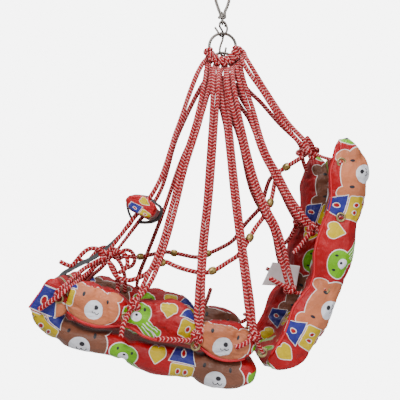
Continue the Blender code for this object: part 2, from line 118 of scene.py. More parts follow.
# ---------------------------------------------------------------- node helpers
class Net:
    """Short ways to write shader maths."""

    def __init__(self, tree, shader=None, mat=None):
        self.tree = tree
        self.shader = shader
        self.mat = mat

    def node(self, kind, **props):
        made = self.tree.nodes.new(kind)
        for key, value in props.items():
            setattr(made, key, value)
        return made

    def put(self, socket, value):
        if isinstance(value, bpy.types.NodeSocket):
            self.tree.links.new(value, socket)
        else:
            socket.default_value = value

    def fill(self, made, *values):
        for socket, value in zip(made.inputs, values):
            if value is not None:
                self.put(socket, value)
        return made.outputs

    def m(self, op, a, b=None):
        return self.fill(self.node("ShaderNodeMath", operation=op), a, b)[0]

    def add(self, a, b):
        return self.m("ADD", a, b)

    def sub(self, a, b):
        return self.m("SUBTRACT", a, b)

    def mul(self, a, b):
        return self.m("MULTIPLY", a, b)

    def abs(self, a):
        return self.m("ABSOLUTE", a)

    def v(self, op, a, b=None):
        out = self.fill(self.node("ShaderNodeVectorMath", operation=op), a, b)
        return out[1] if op in ("LENGTH", "DOT_PRODUCT") else out[0]

    def scale(self, vector, by):
        return self.v("MULTIPLY", vector, by)

    def join(self, x, y, z=0.0):
        return self.fill(self.node("ShaderNodeCombineXYZ"), x, y, z)[0]

    def split(self, vector):
        return self.fill(self.node("ShaderNodeSeparateXYZ"), vector)

    def mix(self, fac, a, b, blend="MIX"):
        made = self.node("ShaderNodeMix", data_type="RGBA", blend_type=blend)
        for index, value in ((0, fac), (6, a), (7, b)):
            self.put(made.inputs[index], value)
        return made.outputs[2]

    def multiply(self, fac, a, b):
        return self.mix(fac, a, b, "MULTIPLY")

    def ramp(self, value, low, high, out_low=0.0, out_high=1.0):
        return self.fill(self.node("ShaderNodeMapRange"), value, low, high, out_low, out_high)[0]

    def noise(self, vector, scale, detail=3.0, rough=0.5):
        made = self.node("ShaderNodeTexNoise")
        for key, value in (("Vector", vector), ("Scale", scale), ("Detail", detail), ("Roughness", rough)):
            if value is not None:
                self.put(made.inputs[key], value)
        return made.outputs[0]

    def uv(self):
        return self.node("ShaderNodeUVMap", uv_map="uv").outputs[0]

    def spot(self):
        return self.node("ShaderNodeTexCoord").outputs["Object"]

    def pointed(self):
        return self.node("ShaderNodeNewGeometry").outputs["Pointiness"]

    def finish(self, colour, cloud, rough, relief, fixed=()):
        """Ends a material: its colour, a roughness that follows cloud, its relief as (height, strength,
        metres) and other inputs."""
        made = self.node("ShaderNodeBump")
        for key, value in zip(("Height", "Strength", "Distance"), relief):
            self.put(made.inputs[key], value)
        grain = self.ramp(cloud, 0.3, 0.7, *rough)
        ends = {"Base Color": colour, "Roughness": grain, "Normal": made.outputs[0], **dict(fixed)}
        for key, value in ends.items():
            self.put(self.shader.inputs[key], value)
        return self.mat

    # distances, in millimetres
    def ellipse(self, p, cx, cy, rx, ry):
        local = self.scale(self.v("SUBTRACT", p, (cx, cy, 0)), (1 / rx, 1 / ry, 0))
        return self.mul(self.sub(self.v("LENGTH", local), 1.0), min(rx, ry))

    def box(self, p, cx, cy, hx, hy, r):
        local = self.v("ABSOLUTE", self.v("SUBTRACT", p, (cx, cy, 0)))
        over = self.v("MAXIMUM", self.v("SUBTRACT", local, (hx - r, hy - r, 1)), (0, 0, 0))
        return self.sub(self.v("LENGTH", over), r)

    def capsule(self, p, ax, ay, bx, by, r):
        along = (bx - ax, by - ay, 0)
        size = along[0] ** 2 + along[1] ** 2
        rel = self.v("SUBTRACT", p, (ax, ay, 0))
        share = self.m("DIVIDE", self.v("DOT_PRODUCT", rel, along), size)
        share = self.m("MINIMUM", self.m("MAXIMUM", share, 0.0), 1.0)
        spot = self.scale(self.join(share, share), along)
        return self.sub(self.v("LENGTH", self.v("SUBTRACT", rel, spot)), r)

    def low(self, *items):
        out = items[0]
        for item in items[1:]:
            out = self.m("MINIMUM", out, item)
        return out

    def inside(self, distance, edge=0.0):
        return self.m("LESS_THAN", distance, edge)

    def stamp(self, under, distance, colour, outline=1.4):
        white = self.mix(self.inside(distance, outline), under, (0.82, 0.78, 0.76, 1))
        return self.mix(self.inside(distance), white, colour)


RED = (0.38, 0.0, 0.004, 1)
PEACH = (0.56, 0.165, 0.068, 1)
BROWN = (0.20, 0.07, 0.038, 1)
BLACK = (0.02, 0.018, 0.025, 1)
PALE = (0.80, 0.80, 0.86, 1)
GREEN = (0.15, 0.42, 0.0, 1)
BLUE = (0.020, 0.022, 0.22, 1)


def print_group():
    """The cloth's repeat: bear heads, round green faces, hearts, and blue and yellow blocks."""
    tree = bpy.data.node_groups.new("toy_print", "ShaderNodeTree")
    for name, kind in (("Place", "Vector"), ("Bear", "Color"), ("Ground", "Color"), ("Bear Rise", "Float")):
        tree.interface.new_socket(name, in_out="INPUT", socket_type="NodeSocket" + kind)
    tree.interface.new_socket("Color", in_out="OUTPUT", socket_type="NodeSocketColor")
    n = Net(tree)
    given = n.node("NodeGroupInput").outputs
    x, y, _ = n.split(n.scale(given["Place"], (100, 100, 0)))
    row = n.m("FLOOR", n.add(n.m("DIVIDE", y, ROW), 0.5))
    w = n.sub(y, n.mul(row, ROW))
    turns = n.m("DIVIDE", x, PERIOD)
    near = n.mul(n.sub(turns, n.m("ROUND", turns)), PERIOD)
    whole = n.mul(n.sub(turns, n.m("FLOOR", turns)), PERIOD)
    b = n.join(near, n.sub(w, given["Bear Rise"]))
    p = n.join(whole, w)

    def ovals(place, *spots):
        return n.low(*(n.ellipse(place, *spot) for spot in spots))

    colour = given["Ground"]
    colour = n.stamp(colour, ovals(b, (0, -20, 52, 34), (-38, 8, 13, 12), (38, 8, 13, 12)), given["Bear"])
    colour = n.mix(n.inside(n.ellipse(b, 2, -27, 19, 17)), colour, PALE)
    face = ovals(b, (6, -21, 4.6, 3.8), (-25, -5, 2.8, 4.2), (27, -5, 2.8, 4.2))
    smile = n.sub(n.abs(ovals(b, (2, -28, 3.8, 3.8), (10, -28, 3.8, 3.8))), 0.7)
    smile = n.m("MAXIMUM", smile, n.add(n.split(b)[1], 28.0))
    colour = n.mix(n.inside(n.low(face, smile)), colour, BLACK)

    legs = n.low(n.capsule(p, 104, -24, 134, -42, 4.8), n.capsule(p, 94, -31, 123, -50, 4.8))
    colour = n.stamp(colour, n.low(n.ellipse(p, 86, -12, 27, 19), legs), GREEN)
    stripe = n.low(n.capsule(p, 108, -26, 132, -40.5, 0.9), n.capsule(p, 98, -33, 121, -48.5, 0.9))
    colour = n.mix(n.inside(stripe), colour, (0.8, 0.85, 0.7, 1))
    colour = n.mix(n.inside(n.ellipse(p, 87, -18, 10, 8)), colour, PALE)
    eyes = ovals(p, (88, -15, 2.7, 2.2), (73, -5, 2.2, 3.0), (101, -6, 2.2, 3.0))
    colour = n.mix(n.inside(eyes), colour, BLACK)

    px, py, _ = n.split(p)
    up = n.sub(py, 1.5)
    aside = n.sub(px, 147.0)
    q = n.join(n.mul(n.add(up, aside), 0.707), n.mul(n.sub(up, aside), 0.707))
    heart = n.low(n.box(q, 0, 0, 9.2, 9.2, 2.0), ovals(q, (9.4, 0, 9.2, 9.2), (0, 9.4, 9.2, 9.2)))
    colour = n.stamp(colour, heart, (0.60, 0.425, 0.0, 1))

    tall = n.sub(py, 16.0)
    wide = n.abs(n.sub(px, 196.0))
    lean = n.sub(n.add(n.mul(wide, 0.95), n.mul(tall, 0.38)), 17.5)
    colour = n.stamp(colour, n.m("MAXIMUM", n.sub(n.abs(tall), 15.5), lean), BLUE)
    colour = n.stamp(colour, n.ellipse(p, 196, 15, 4, 4.6), given["Ground"])
    colour = n.stamp(colour, n.box(p, 198, -17, 22, 13.5, 4), (0.60, 0.42, 0.0, 1))
    colour = n.stamp(colour, ovals(p, (191, -17, 3.4, 4.2), (205, -17, 3.4, 4.2)), given["Ground"])
    n.fill(n.node("NodeGroupOutput"), colour)
    return tree


PRINT = print_group()


def new_material(name):
    mat = bpy.data.materials.new(name)
    mat.use_nodes = True
    return Net(mat.node_tree, mat.node_tree.nodes["Principled BSDF"], mat)


def fabric(name, bear, painted_shade=1.0, creases=1.0, rise=0.0):
    """Printed smooth polyester cotton with a fine weave and creases, and broad darker and lighter patches
    painted as the shade and light of folds; a factor darkens the whole print as painted shade.
    """
    n = new_material(name)
    place = n.uv()
    group = n.node("ShaderNodeGroup")
    group.node_tree = PRINT
    # inner faces are painted in shade: brown bears, and the whole colour 32% darker
    shaded_inner = n.m("GREATER_THAN", n.split(place)[0], SHADED_INNER_OFFSET / 2)
    n.fill(group, place, n.mix(shaded_inner, bear, BROWN), RED, rise)
    spot = n.spot()
    broad = n.noise(spot, 14.0, 4.0, 0.55)
    # painted shade and light of folds: broad noise makes the cloth 0.60 to 1.08 times as bright, and the
    # factor darkens it all as painted shade
    tone = n.ramp(broad, 0.3, 0.66, 0.60 * painted_shade, 1.08 * painted_shade)
    tone = n.mul(tone, n.sub(1.0, n.mul(shaded_inner, 0.32)))
    colour = n.multiply(1.0, group.outputs[0], n.join(tone, tone, tone))
    threads = n.noise(n.scale(place, (900, 300, 1)), 1.0, 1.0)
    cross = n.noise(n.scale(place, (300, 900, 1)), 1.0, 1.0)
    weave = n.mul(threads, cross)
    fleck = n.ramp(weave, 0.15, 0.35, 0.92, 1.04)
    colour = n.multiply(1.0, colour, n.join(fleck, fleck, fleck))
    stretched = n.noise(n.scale(place, (3.2, 9.0, 1)), 1.0, 4.0, 0.6)
    skew = n.noise(n.scale(spot, (30, 46, 60)), 1.0, 3.0, 0.55)
    height = n.add(n.add(n.mul(stretched, 0.7), n.mul(skew, 0.5)), n.mul(weave, 0.03))
    satin = {"Specular IOR Level": 0.3, "Sheen Weight": 0.015, "Sheen Roughness": 0.4,
             "Sheen Tint": (1.0, 0.75, 0.8, 1)}
    return n.finish(colour, broad, (0.36, 0.52), (height, 0.62 * creases, 0.009), satin)


def rope_material(name, painted_shade=1.0):
    """Braided cord: white herringbone marks on red, each strand standing proud; painted shade darkens the
    grooves between strands, and a factor darkens a whole copy as painted shade.
    """
    n = new_material(name)
    place = n.uv()
    u, v, _ = n.split(place)
    zig = n.mul(n.abs(n.sub(n.m("FRACT", n.mul(u, 2.0)), 0.5)), 2.0)
    wander = n.noise(n.scale(place, (4, 22, 1)), 1.0, 3.0, 0.6)
    phase = n.add(n.add(n.mul(v, 100 / 6.2), n.mul(zig, 0.62)), n.mul(wander, 0.9))
    ridge = n.abs(n.sub(n.m("FRACT", phase), 0.5))
    yarn = n.m("FRACT", n.add(n.mul(v, 100 / 1.1), n.mul(zig, -3.0)))
    fine = n.noise(n.scale(place, (40, 240, 1)), 1.0, 2.0)
    white = n.mul(n.ramp(ridge, 0.345, 0.39), n.ramp(fine, 0.36, 0.50, 0.1, 1.0))
    red = n.mix(n.ramp(fine, 0.35, 0.7), (0.28 * painted_shade, 0.0, 0.004, 1), (0.46 * painted_shade, 0.0, 0.006, 1))
    colour = n.mix(white, red, (0.86 * painted_shade, 0.38 * painted_shade, 0.37 * painted_shade, 1))
    # painted shade: the grooves between the strands are darkened
    gap = n.ramp(n.abs(n.sub(ridge, 0.32)), 0.0, 0.06, 1.0, 0.0)
    gap = n.m("MAXIMUM", gap, n.ramp(ridge, 0.0, 0.09, 1.0, 0.0))
    colour = n.multiply(gap, colour, (0.45, 0.30, 0.30, 1))
    height = n.add(n.sub(1.0, gap), n.mul(yarn, 0.12))
    return n.finish(colour, fine, (0.62, 0.82), (height, 0.9, 0.0009), {"Specular IOR Level": 0.25})


def cord_material(name):
    """Grey twisted cord, with painted shade in its grooves and lighter strands between them."""
    n = new_material(name)
    place = n.uv()
    u, v, _ = n.split(place)
    # painted shade in the grooves of the twist, lighter on the strands
    twist = n.m("SINE", n.mul(n.sub(n.mul(u, 3.0), n.mul(v, 100 / 6.0)), math.tau))
    fine = n.noise(n.scale(place, (14, 260, 1)), 1.0, 3.0)
    tone = n.add(n.mul(twist, 0.5), n.mul(fine, 0.5))
    colour = n.mix(n.ramp(tone, -0.3, 0.6), (0.035, 0.032, 0.028, 1), (0.34, 0.31, 0.28, 1))
    return n.finish(colour, fine, (0.6, 0.85), (tone, 0.8, 0.0007))


def steel_material(name):
    """Dulled zinc-plated steel wire with fine turned marks, dark spots and bright patches."""
    n = new_material(name)
    place = n.uv()
    u, v, _ = n.split(place)
    spiral = n.m("SINE", n.mul(n.add(n.mul(u, 2.0), n.mul(v, 100 / 4.2)), math.tau))
    grain = n.noise(n.scale(place, (6, 300, 1)), 1.0, 3.0)
    patch = n.noise(n.scale(place, (3, 18, 1)), 1.0, 4.0, 0.6)
    tone = n.add(n.mul(spiral, 0.22), n.add(n.mul(grain, 0.4), n.mul(patch, 0.6)))
    colour = n.mix(n.ramp(tone, 0.25, 0.8), (0.045, 0.038, 0.034, 1), (0.25, 0.225, 0.20, 1))
    return n.finish(colour, patch, (0.28, 0.52), (tone, 0.35, 0.0004), {"Metallic": 0.85})


def bead_material(name):
    """Gilded plastic bead, dark brown to gold in broad patches and brighter gold along its sharp rims."""
    n = new_material(name)
    spot = n.spot()
    broad = n.noise(spot, 260.0, 4.0, 0.6)
    fine = n.noise(spot, 1400.0, 2.0)
    colour = n.mix(n.ramp(broad, 0.38, 0.62), (0.03, 0.018, 0.004, 1), (0.26, 0.165, 0.035, 1))
    colour = n.mix(n.ramp(n.pointed(), 0.50, 0.58), colour, (0.48, 0.35, 0.11, 1))
    height = n.add(broad, n.mul(fine, 0.3))
    return n.finish(colour, broad, (0.26, 0.5), (height, 0.3, 0.0004), {"Metallic": 0.65})


def brass_material(name):
    """Pressed brass eyelet, tarnished in its roll and brighter on its rim."""
    n = new_material(name)
    broad = n.noise(n.spot(), 190.0, 4.0, 0.6)
    colour = n.mix(n.ramp(broad, 0.3, 0.7), (0.09, 0.06, 0.02, 1), (0.32, 0.24, 0.09, 1))
    colour = n.mix(n.ramp(n.pointed(), 0.5, 0.6), colour, (0.62, 0.53, 0.30, 1))
    return n.finish(colour, broad, (0.28, 0.5), (broad, 0.25, 0.0005), {"Metallic": 0.9})


def webbing_material(name):
    """Charcoal polypropylene webbing: ribs along it and a fine cross weave."""
    n = new_material(name)
    u, v, _ = n.split(n.uv())
    ribs = n.abs(n.m("SINE", n.mul(u, 100 * math.pi / 2.2)))
    picks = n.abs(n.m("SINE", n.add(n.mul(v, 100 * math.pi / 1.4), n.mul(u, 100 * 1.57 / 2.2))))
    weave = n.mul(ribs, picks)
    fuzz = n.noise(n.join(u, v), 120.0, 3.0)
    tone = n.add(n.mul(weave, 0.7), n.mul(fuzz, 0.3))
    colour = n.mix(tone, (0.009, 0.009, 0.012, 1), (0.055, 0.056, 0.062, 1))
    return n.finish(colour, fuzz, (0.45, 0.7), (weave, 0.7, 0.0006))


def label_material(name):
    """Blank woven white label cloth, slightly creased."""
    n = new_material(name)
    place = n.uv()
    satin = n.noise(n.scale(place, (40, 900, 1)), 1.0, 2.0)
    dust = n.noise(place, 9.0, 4.0)
    colour = n.mix(n.ramp(dust, 0.3, 0.7), (0.82, 0.81, 0.82, 1), (0.93, 0.92, 0.93, 1))
    colour = n.multiply(n.ramp(satin, 0.3, 0.7, 0.0, 0.25), colour, (0.75, 0.75, 0.78, 1))
    height = n.add(n.mul(satin, 0.1), n.noise(place, 4.0, 3.0))
    return n.finish(colour, satin, (0.45, 0.65), (height, 0.4, 0.002))


def wood_material(name):
    """Turned softwood dowel with rings and grain streaks."""
    n = new_material(name)
    streak = n.noise(n.scale(n.spot(), (14, 420, 420)), 1.0, 4.0, 0.6)
    colour = n.mix(n.ramp(streak, 0.3, 0.7), (0.36, 0.21, 0.10, 1), (0.66, 0.46, 0.26, 1))
    return n.finish(colour, streak, (0.45, 0.65), (streak, 0.3, 0.0006))


def piping_material(name, colour):
    """Shiny bound edge tape with fine diagonal ribs."""
    n = new_material(name)
    place = n.uv()
    u, v, _ = n.split(place)
    rib = n.m("SINE", n.mul(n.add(u, n.mul(v, 100 / 1.6)), math.tau))
    cloud = n.noise(n.scale(place, (2, 6, 1)), 1.0, 3.0)
    dark = tuple(c * 0.55 for c in colour[:3]) + (1,)
    tint = n.mix(n.ramp(cloud, 0.3, 0.7), dark, colour)
    return n.finish(tint, cloud, (0.35, 0.55), (n.add(n.mul(rib, 0.15), cloud), 0.5, 0.0012))


MAT_ROPE = rope_material("braid_red_white")
# the far side's ropes: the same braid painted 6% darker, as painted shade
MAT_ROPE_FAR = rope_material("braid_red_white_painted_shade", 0.94)
MAT_CORD = cord_material("twisted_grey_cord")
MAT_STEEL = steel_material("dulled_steel")
MAT_BEAD = bead_material("gilded_bead")
MAT_BRASS = brass_material("brass_eyelet")
MAT_WEB = webbing_material("charcoal_webbing")
MAT_LABEL = label_material("blank_label_cloth")
MAT_WOOD = wood_material("dowel_wood")
# the mat: its print painted 14% darker, as painted shade
MAT_CLOTH = fabric("print_mat", BROWN, painted_shade=0.86, rise=11.0)
MAT_BOLSTER = fabric("print_bolster", PEACH)
MAT_BAR = fabric("print_bar", PEACH, creases=1.4)
MAT_PIPE = piping_material("edge_tape", (0.62, 0.0, 0.010, 1))


# ---------------------------------------------------------------- shape helpers
def lengths(p):
    """Distance along a path at each of its points."""
    return np.concatenate([[0], np.cumsum(np.linalg.norm(np.diff(p[:, :3], axis=0), axis=1))])


def spline_path(points, spacing):
    """Smooth chord-length curve through points, read at even steps of about spacing."""
    p = np.array([tuple(q) for q in points], float)
    h = np.maximum(np.linalg.norm(np.diff(p[:, :3], axis=0), axis=1), 1e-6)
    slope = np.diff(p, axis=0) / h[:, None]
    m = np.zeros_like(p)
    m[0] = slope[0]
    m[-1] = slope[-1]
    for k in range(1, len(p) - 1):
        m[k] = (slope[k - 1] * h[k] + slope[k] * h[k - 1]) / (h[k - 1] + h[k])
    out = []
    for k in range(len(p) - 1):
        steps = max(4, int(h[k] / spacing * 3))
        for j in range(steps):
            t = j / steps
            out.append((2 * t ** 3 - 3 * t ** 2 + 1) * p[k] + (t ** 3 - 2 * t ** 2 + t) * h[k] * m[k]
                       + (-2 * t ** 3 + 3 * t ** 2) * p[k + 1] + (t ** 3 - t ** 2) * h[k] * m[k + 1])
    out.append(p[-1])
    out = np.array(out)
    length = lengths(out)
    count = max(3, int(round(length[-1] / spacing)) + 1)
    grid = np.linspace(0, length[-1], count)
    return np.stack([np.interp(grid, length, out[:, c]) for c in range(out.shape[1])], 1)


def flat_path(points, spacing):
    """The same for points in a plane."""
    return spline_path([(a, b, 0.0) for a, b in points], spacing)[:, :2]


def weld(obj, distance):
    """Joins points that lie closer than distance, in metres, and turns the faces outward."""
    shape = bmesh.new()
    shape.from_mesh(obj.data)
    if distance:
        bmesh.ops.remove_doubles(shape, verts=shape.verts, dist=distance)
    bmesh.ops.recalc_face_normals(shape, faces=shape.faces)
    shape.to_mesh(obj.data)
    shape.free()


def grid_mesh(name, rows, uvs, mat, cap=True, far_uvs=None):
    """Mesh from rows (n, m, 3 in mm from the ring's centre), closed round; uvs is (n, m + 1, 2)."""
    n, m = rows.shape[:2]
    verts = rows.reshape(-1, 3).copy()
    faces = []
    loops = []
    ends_uv = uvs[:, 1:] if far_uvs is None else far_uvs
    for i in range(n - 1):
        for j in range(m):
            k = (j + 1) % m
            faces.append((i * m + j, i * m + k, (i + 1) * m + k, (i + 1) * m + j))
            loops += [uvs[i, j], ends_uv[i, j], ends_uv[i + 1, j], uvs[i + 1, j]]
    if cap:
        ends = np.stack([rows[0].mean(0), rows[-1].mean(0)])
        verts = np.concatenate([verts, ends])
        first, last = n * m, n * m + 1
        for j in range(m):
            k = (j + 1) % m
            faces.append((first, k, j))
            loops += [uvs[0, :].mean(0), uvs[0, j + 1], uvs[0, j]]
            faces.append((last, (n - 1) * m + j, (n - 1) * m + k))
            loops += [uvs[-1, :].mean(0), uvs[-1, j], uvs[-1, j + 1]]
    verts[:, 2] -= RING_DROP
    verts *= MM
    mesh = bpy.data.meshes.new(name)
    mesh.from_pydata(verts.tolist(), [], faces)
    layer = mesh.uv_layers.new(name="uv")
    layer.data.foreach_set("uv", np.array(loops, np.float32).ravel())
    mesh.polygons.foreach_set("use_smooth", [True] * len(mesh.polygons))
    mesh.materials.append(mat)
    mesh.update()
    obj = new_object(name, mesh)
    weld(obj, 0.0)
    return obj


def transport(p):
    """Tangents and two side directions that don't spin along the path."""
    t = np.gradient(p[:, :3], axis=0)
    t /= np.linalg.norm(t, axis=1)[:, None]
    start = np.array([1.0, 0, 0]) if abs(t[0, 0]) < 0.8 else np.array([0, 1.0, 0])
    a = np.zeros_like(t)
    a[0] = start - t[0] * (start @ t[0])
    a[0] /= np.linalg.norm(a[0])
    for k in range(1, len(t)):
        side = a[k - 1] - t[k] * (a[k - 1] @ t[k])
        a[k] = side / np.linalg.norm(side)
    return t, a, np.cross(t, a)


def tube(name, points, radius, mat, sides=12, spacing=3.0, spin=0.0, shape=None, raw=False):
    """Round tube with softly closed ends. radius is a number, or is the fourth value of each point."""
    p = np.array([tuple(q) for q in points], float) if raw else spline_path(points, spacing)
    r = p[:, 3] if p.shape[1] > 3 else np.full(len(p), radius, float)
    s = lengths(p)
    t, a, b = transport(p)
    heads = [p[:1, :3] - t[:1] * r[0] * k for k in (0.45, 0.3)]
    feet = [p[-1:, :3] + t[-1:] * r[-1] * k for k in (0.3, 0.45)]
    centre = np.concatenate([*heads, p[:, :3], *feet])
    r = np.concatenate([[r[0] * 0.45, r[0] * 0.82], r, [r[-1] * 0.82, r[-1] * 0.45]])
    s = np.concatenate([[-1, -0.6], s, [s[-1] + 0.6, s[-1] + 1]])
    a = np.concatenate([a[:1], a[:1], a, a[-1:], a[-1:]])
    b = np.concatenate([b[:1], b[:1], b, b[-1:], b[-1:]])
    theta = np.linspace(0, math.tau, sides + 1)
    rr = r[:, None] * np.ones((1, sides + 1))
    if shape is not None:
        rr = rr * shape(theta[None, :], s[:, None])
    turn_by = theta[None, :] + spin
    rows = (centre[:, None, :] + a[:, None, :] * (np.cos(turn_by) * rr)[:, :, None]
            + b[:, None, :] * (np.sin(turn_by) * rr)[:, :, None])
    uvs = np.stack([np.tile(theta / math.tau, (len(s), 1)), np.tile(s[:, None] / 100, (1, sides + 1))], 2)
    return grid_mesh(name, rows[:, :sides], uvs, mat)


def wrinkle(points, freq, seed):
    """Folded noise, one number for each point."""
    flat = points.reshape(-1, 3)
    out = np.array([noise.fractal(Vector(q * freq) + Vector((seed, 3.7, 1.3)), 0.9, 2.1, 3) for q in flat])
    return out.reshape(points.shape[:-1])


def nearest_on(line, point):
    """Index of the point of a line that is nearest to a (y, z) point."""
    return int(np.argmin(np.linalg.norm(line[:, :2] - np.array(point), axis=1)))


# ---------------------------------------------------------------- padded pieces
AROUND = 72     # points round a bolster and round the bar


def bolster(name, side, x_mid, half, edge, bears, power, pinches, seed, cut=0.0, lift=0.0):
    """Stuffed side roll: superellipse sections along a line, gathered where the ropes pull it in."""
    path = spline_path([(y, z, 0.0, w * half, h) for y, z, w, h in edge], 3.2)
    line = path[:, :2]
    s = lengths(line)
    along = np.gradient(line, axis=0)
    for _ in range(3):
        along[1:-1] = (along[:-2] + along[1:-1] + along[2:]) / 3
    along /= np.linalg.norm(along, axis=1)[:, None]
    across = np.stack([-along[:, 1], along[:, 0]], 1)
    one, two = (s[nearest_on(line, q)] for q in bears)
    phi = np.linspace(-math.pi, math.pi, AROUND + 1)
    theta = phi if side > 0 else math.pi - phi
    c, t = np.cos(theta), np.sin(theta)
    ex = 2 / power
    cx = np.sign(c) * np.abs(c) ** ex
    cy = np.sign(t) * np.abs(t) ** ex
    wide, deep = path[:, 3], path[:, 4]
    x = x_mid * side + wide[:, None] * cx[None]
    off = deep[:, None] * (cy * (1 - cut * (1 - side * cx) / 2 * (cy > 0)))[None]
    y = line[:, 0:1] + across[:, 0:1] * off
    z = line[:, 1:2] + across[:, 1:2] * off
    rows = np.stack([x, y, z], 2)
    nx = cx[None] / np.maximum(wide[:, None], 2)
    no = cy[None] / np.maximum(deep[:, None], 2)
    normal = np.stack([nx * np.ones_like(off), across[:, 0:1] * no, across[:, 1:2] * no], 2)
    normal /= np.maximum(np.linalg.norm(normal, axis=2), 1e-9)[:, :, None]
    push = wrinkle(rows * np.array([1.0, 0.8, 0.8]), 0.020, seed) * 2.0
    push += wrinkle(rows, 0.055, seed + 5) * 0.6
    ends = [0.0, s[-1]] + [s[nearest_on(line, q)] for q in pinches]
    for k, place in enumerate(ends):
        gap = np.abs(s - place)
        fold = np.exp(-((gap - 9) / 17.0) ** 2)
        waves = np.cos(9 * phi + k * 1.7 + seed) * 1.5 + np.cos(15 * phi + k * 2.9) * 0.7
        push += fold[:, None] * waves[None]
    fade = np.clip(np.minimum(s, s[-1] - s) / 10, 0, 1)
    rows = rows + normal * (push * fade[:, None])[:, :, None]
    ring = np.stack([wide[:, None] * cx[None], off], 2)
    step = np.linalg.norm(np.diff(ring, axis=1), axis=2)
    arc = np.concatenate([np.zeros((len(s), 1)), np.cumsum(step, axis=1)], 1)
    arc = arc - arc[:, AROUND // 2: AROUND // 2 + 1]
    print_s = (s - one) / (two - one) * PERIOD
    around_all = step.sum(1)[:, None]
    inner = np.sign(arc) * (around_all / 2 - np.abs(arc))
    outside = np.cos((phi[1:] + phi[:-1]) / 2) > 0
    both = []
    for cut_from in (slice(0, AROUND), slice(1, AROUND + 1)):
        w = np.where(outside[None], arc[:, cut_from], inner[:, cut_from]) - lift
        # inner faces get the offset that marks their painted shade
        here = np.where(outside[None], print_s[:, None], print_s[:, None] + SHADED_INNER_OFFSET * 100)
        both.append(np.stack([here + 0 * w, w], 2) / 100)
    near_uv = np.concatenate([both[0], both[0][:, :1]], 1)
    obj = grid_mesh(name, rows[:, :AROUND], near_uv, MAT_BOLSTER, far_uvs=both[1])
    return obj, rows, normal, phi


def mat_piece(name, outline, half, mid, bears, seams, seed, rim=26.0, amp=1.0):
    """Padded mat: its side profile repeated across, closing to its middle line at both sides."""
    ring = flat_path([*outline, outline[0]], 4.0)[:-1]
    line = flat_path(mid, 3.0)
    s_line = lengths(line)
    d = np.linalg.norm(ring[:, None] - line[None], axis=2)
    index = d.argmin(1)
    foot = line[index]
    s_here = s_line[index]
    tangent = np.gradient(line, axis=0)
    tangent /= np.linalg.norm(tangent, axis=1)[:, None]
    lean = ring - foot
    above = np.sign(tangent[index, 0] * lean[:, 1] - tangent[index, 1] * lean[:, 0])
    above[above == 0] = 1
    tall = np.linalg.norm(lean, axis=1)
    angles = np.linspace(math.pi / 2, 0, 10)
    xs = [-(half - rim) - rim * math.sin(q) for q in angles]
    ks = [max(math.cos(q), 0.0) ** 0.75 for q in angles]
    inner = np.linspace(-(half - rim), half - rim, 34)[1:-1]
    xs = np.array(xs + list(inner) + [-v for v in xs[::-1]])
    ks = np.array(ks + [1.0] * len(inner) + ks[::-1])
    rows = np.zeros((len(xs), len(ring), 3))
    rows[:, :, 0] = xs[:, None]
    rows[:, :, 1:] = foot[None] + lean[None] * ks[:, None, None]
    out = lean / np.maximum(tall, 1e-6)[:, None]
    puff = np.zeros((len(xs), len(ring)))
    for place in seams:
        spot = s_line[nearest_on(line, place)]
        gap = s_here - spot
        puff -= np.exp(-(gap / 7.0) ** 2)[None] * 3.2
        puff -= np.exp(-(gap / 22.0) ** 2)[None] * 3.5 * (np.abs(xs)[:, None] / half) ** 2
        puff += (np.exp(-(gap / 30.0) ** 2)[None] * np.cos(xs * 0.42 + spot)[:, None] * 0.9
                 * (1 - np.exp(-(gap / 7.0) ** 2))[None])
    puff += wrinkle(rows, 0.020, seed) * 2.4 * amp
    puff += wrinkle(rows, 0.06, seed + 9) * 0.7 * amp
    rows[:, :, 1:] += out[None] * (puff * ks[:, None])[:, :, None]
    one, two = (s_line[nearest_on(line, q)] for q in bears)
    print_s = (s_here - one) / (two - one) * PERIOD
    flat = half - rim
    up = tall[None] * ks[:, None]
    arc = up + (flat - np.clip(xs, -flat, flat))[:, None]
    arc = np.where((xs < -flat)[:, None], 2 * tall[None] + 2 * flat - up, arc)
    arc = np.concatenate([arc, arc[:, :1]], 1)
    print_s = np.concatenate([print_s, print_s[:1]])
    both = [np.stack([np.tile(print_s[part], (len(xs), 1)), above[None] * arc[:, part] - 3.0], 2) / 100
            for part in (slice(0, -1), slice(1, None))]
    near_uv = np.concatenate([both[0], both[0][:, :1]], 1)
    return grid_mesh(name, rows, near_uv, MAT_CLOTH, cap=False, far_uvs=both[1])


EYES = {
    "front": (151.7, -285, -470), "seat_a": (155.5, -174, -501), "seat_b": (155.5, -55, -549),
    "seat_c": (154.5, 58, -560), "back_a": (165.0, 163, -454), "back_b": (167.0, 190, -333),
    "back_c": (167.5, 192, -240),
}


CLOTH = {"quality": 4, "mass": 0.15, "tension_stiffness": 12, "compression_stiffness": 12,
         "shear_stiffness": 4, "bending_stiffness": 0.05, "use_pressure": True, "uniform_pressure_force": 4.0}
CLOTH_FRAMES = 14
HELD = 0.004        # metres round a held point that stay where they are
HELD_FADE = 0.010   # metres over which the cloth becomes free


def read_points(mesh):
    out = np.zeros(len(mesh.vertices) * 3)
    mesh.vertices.foreach_get("co", out)
    return out.reshape(-1, 3)


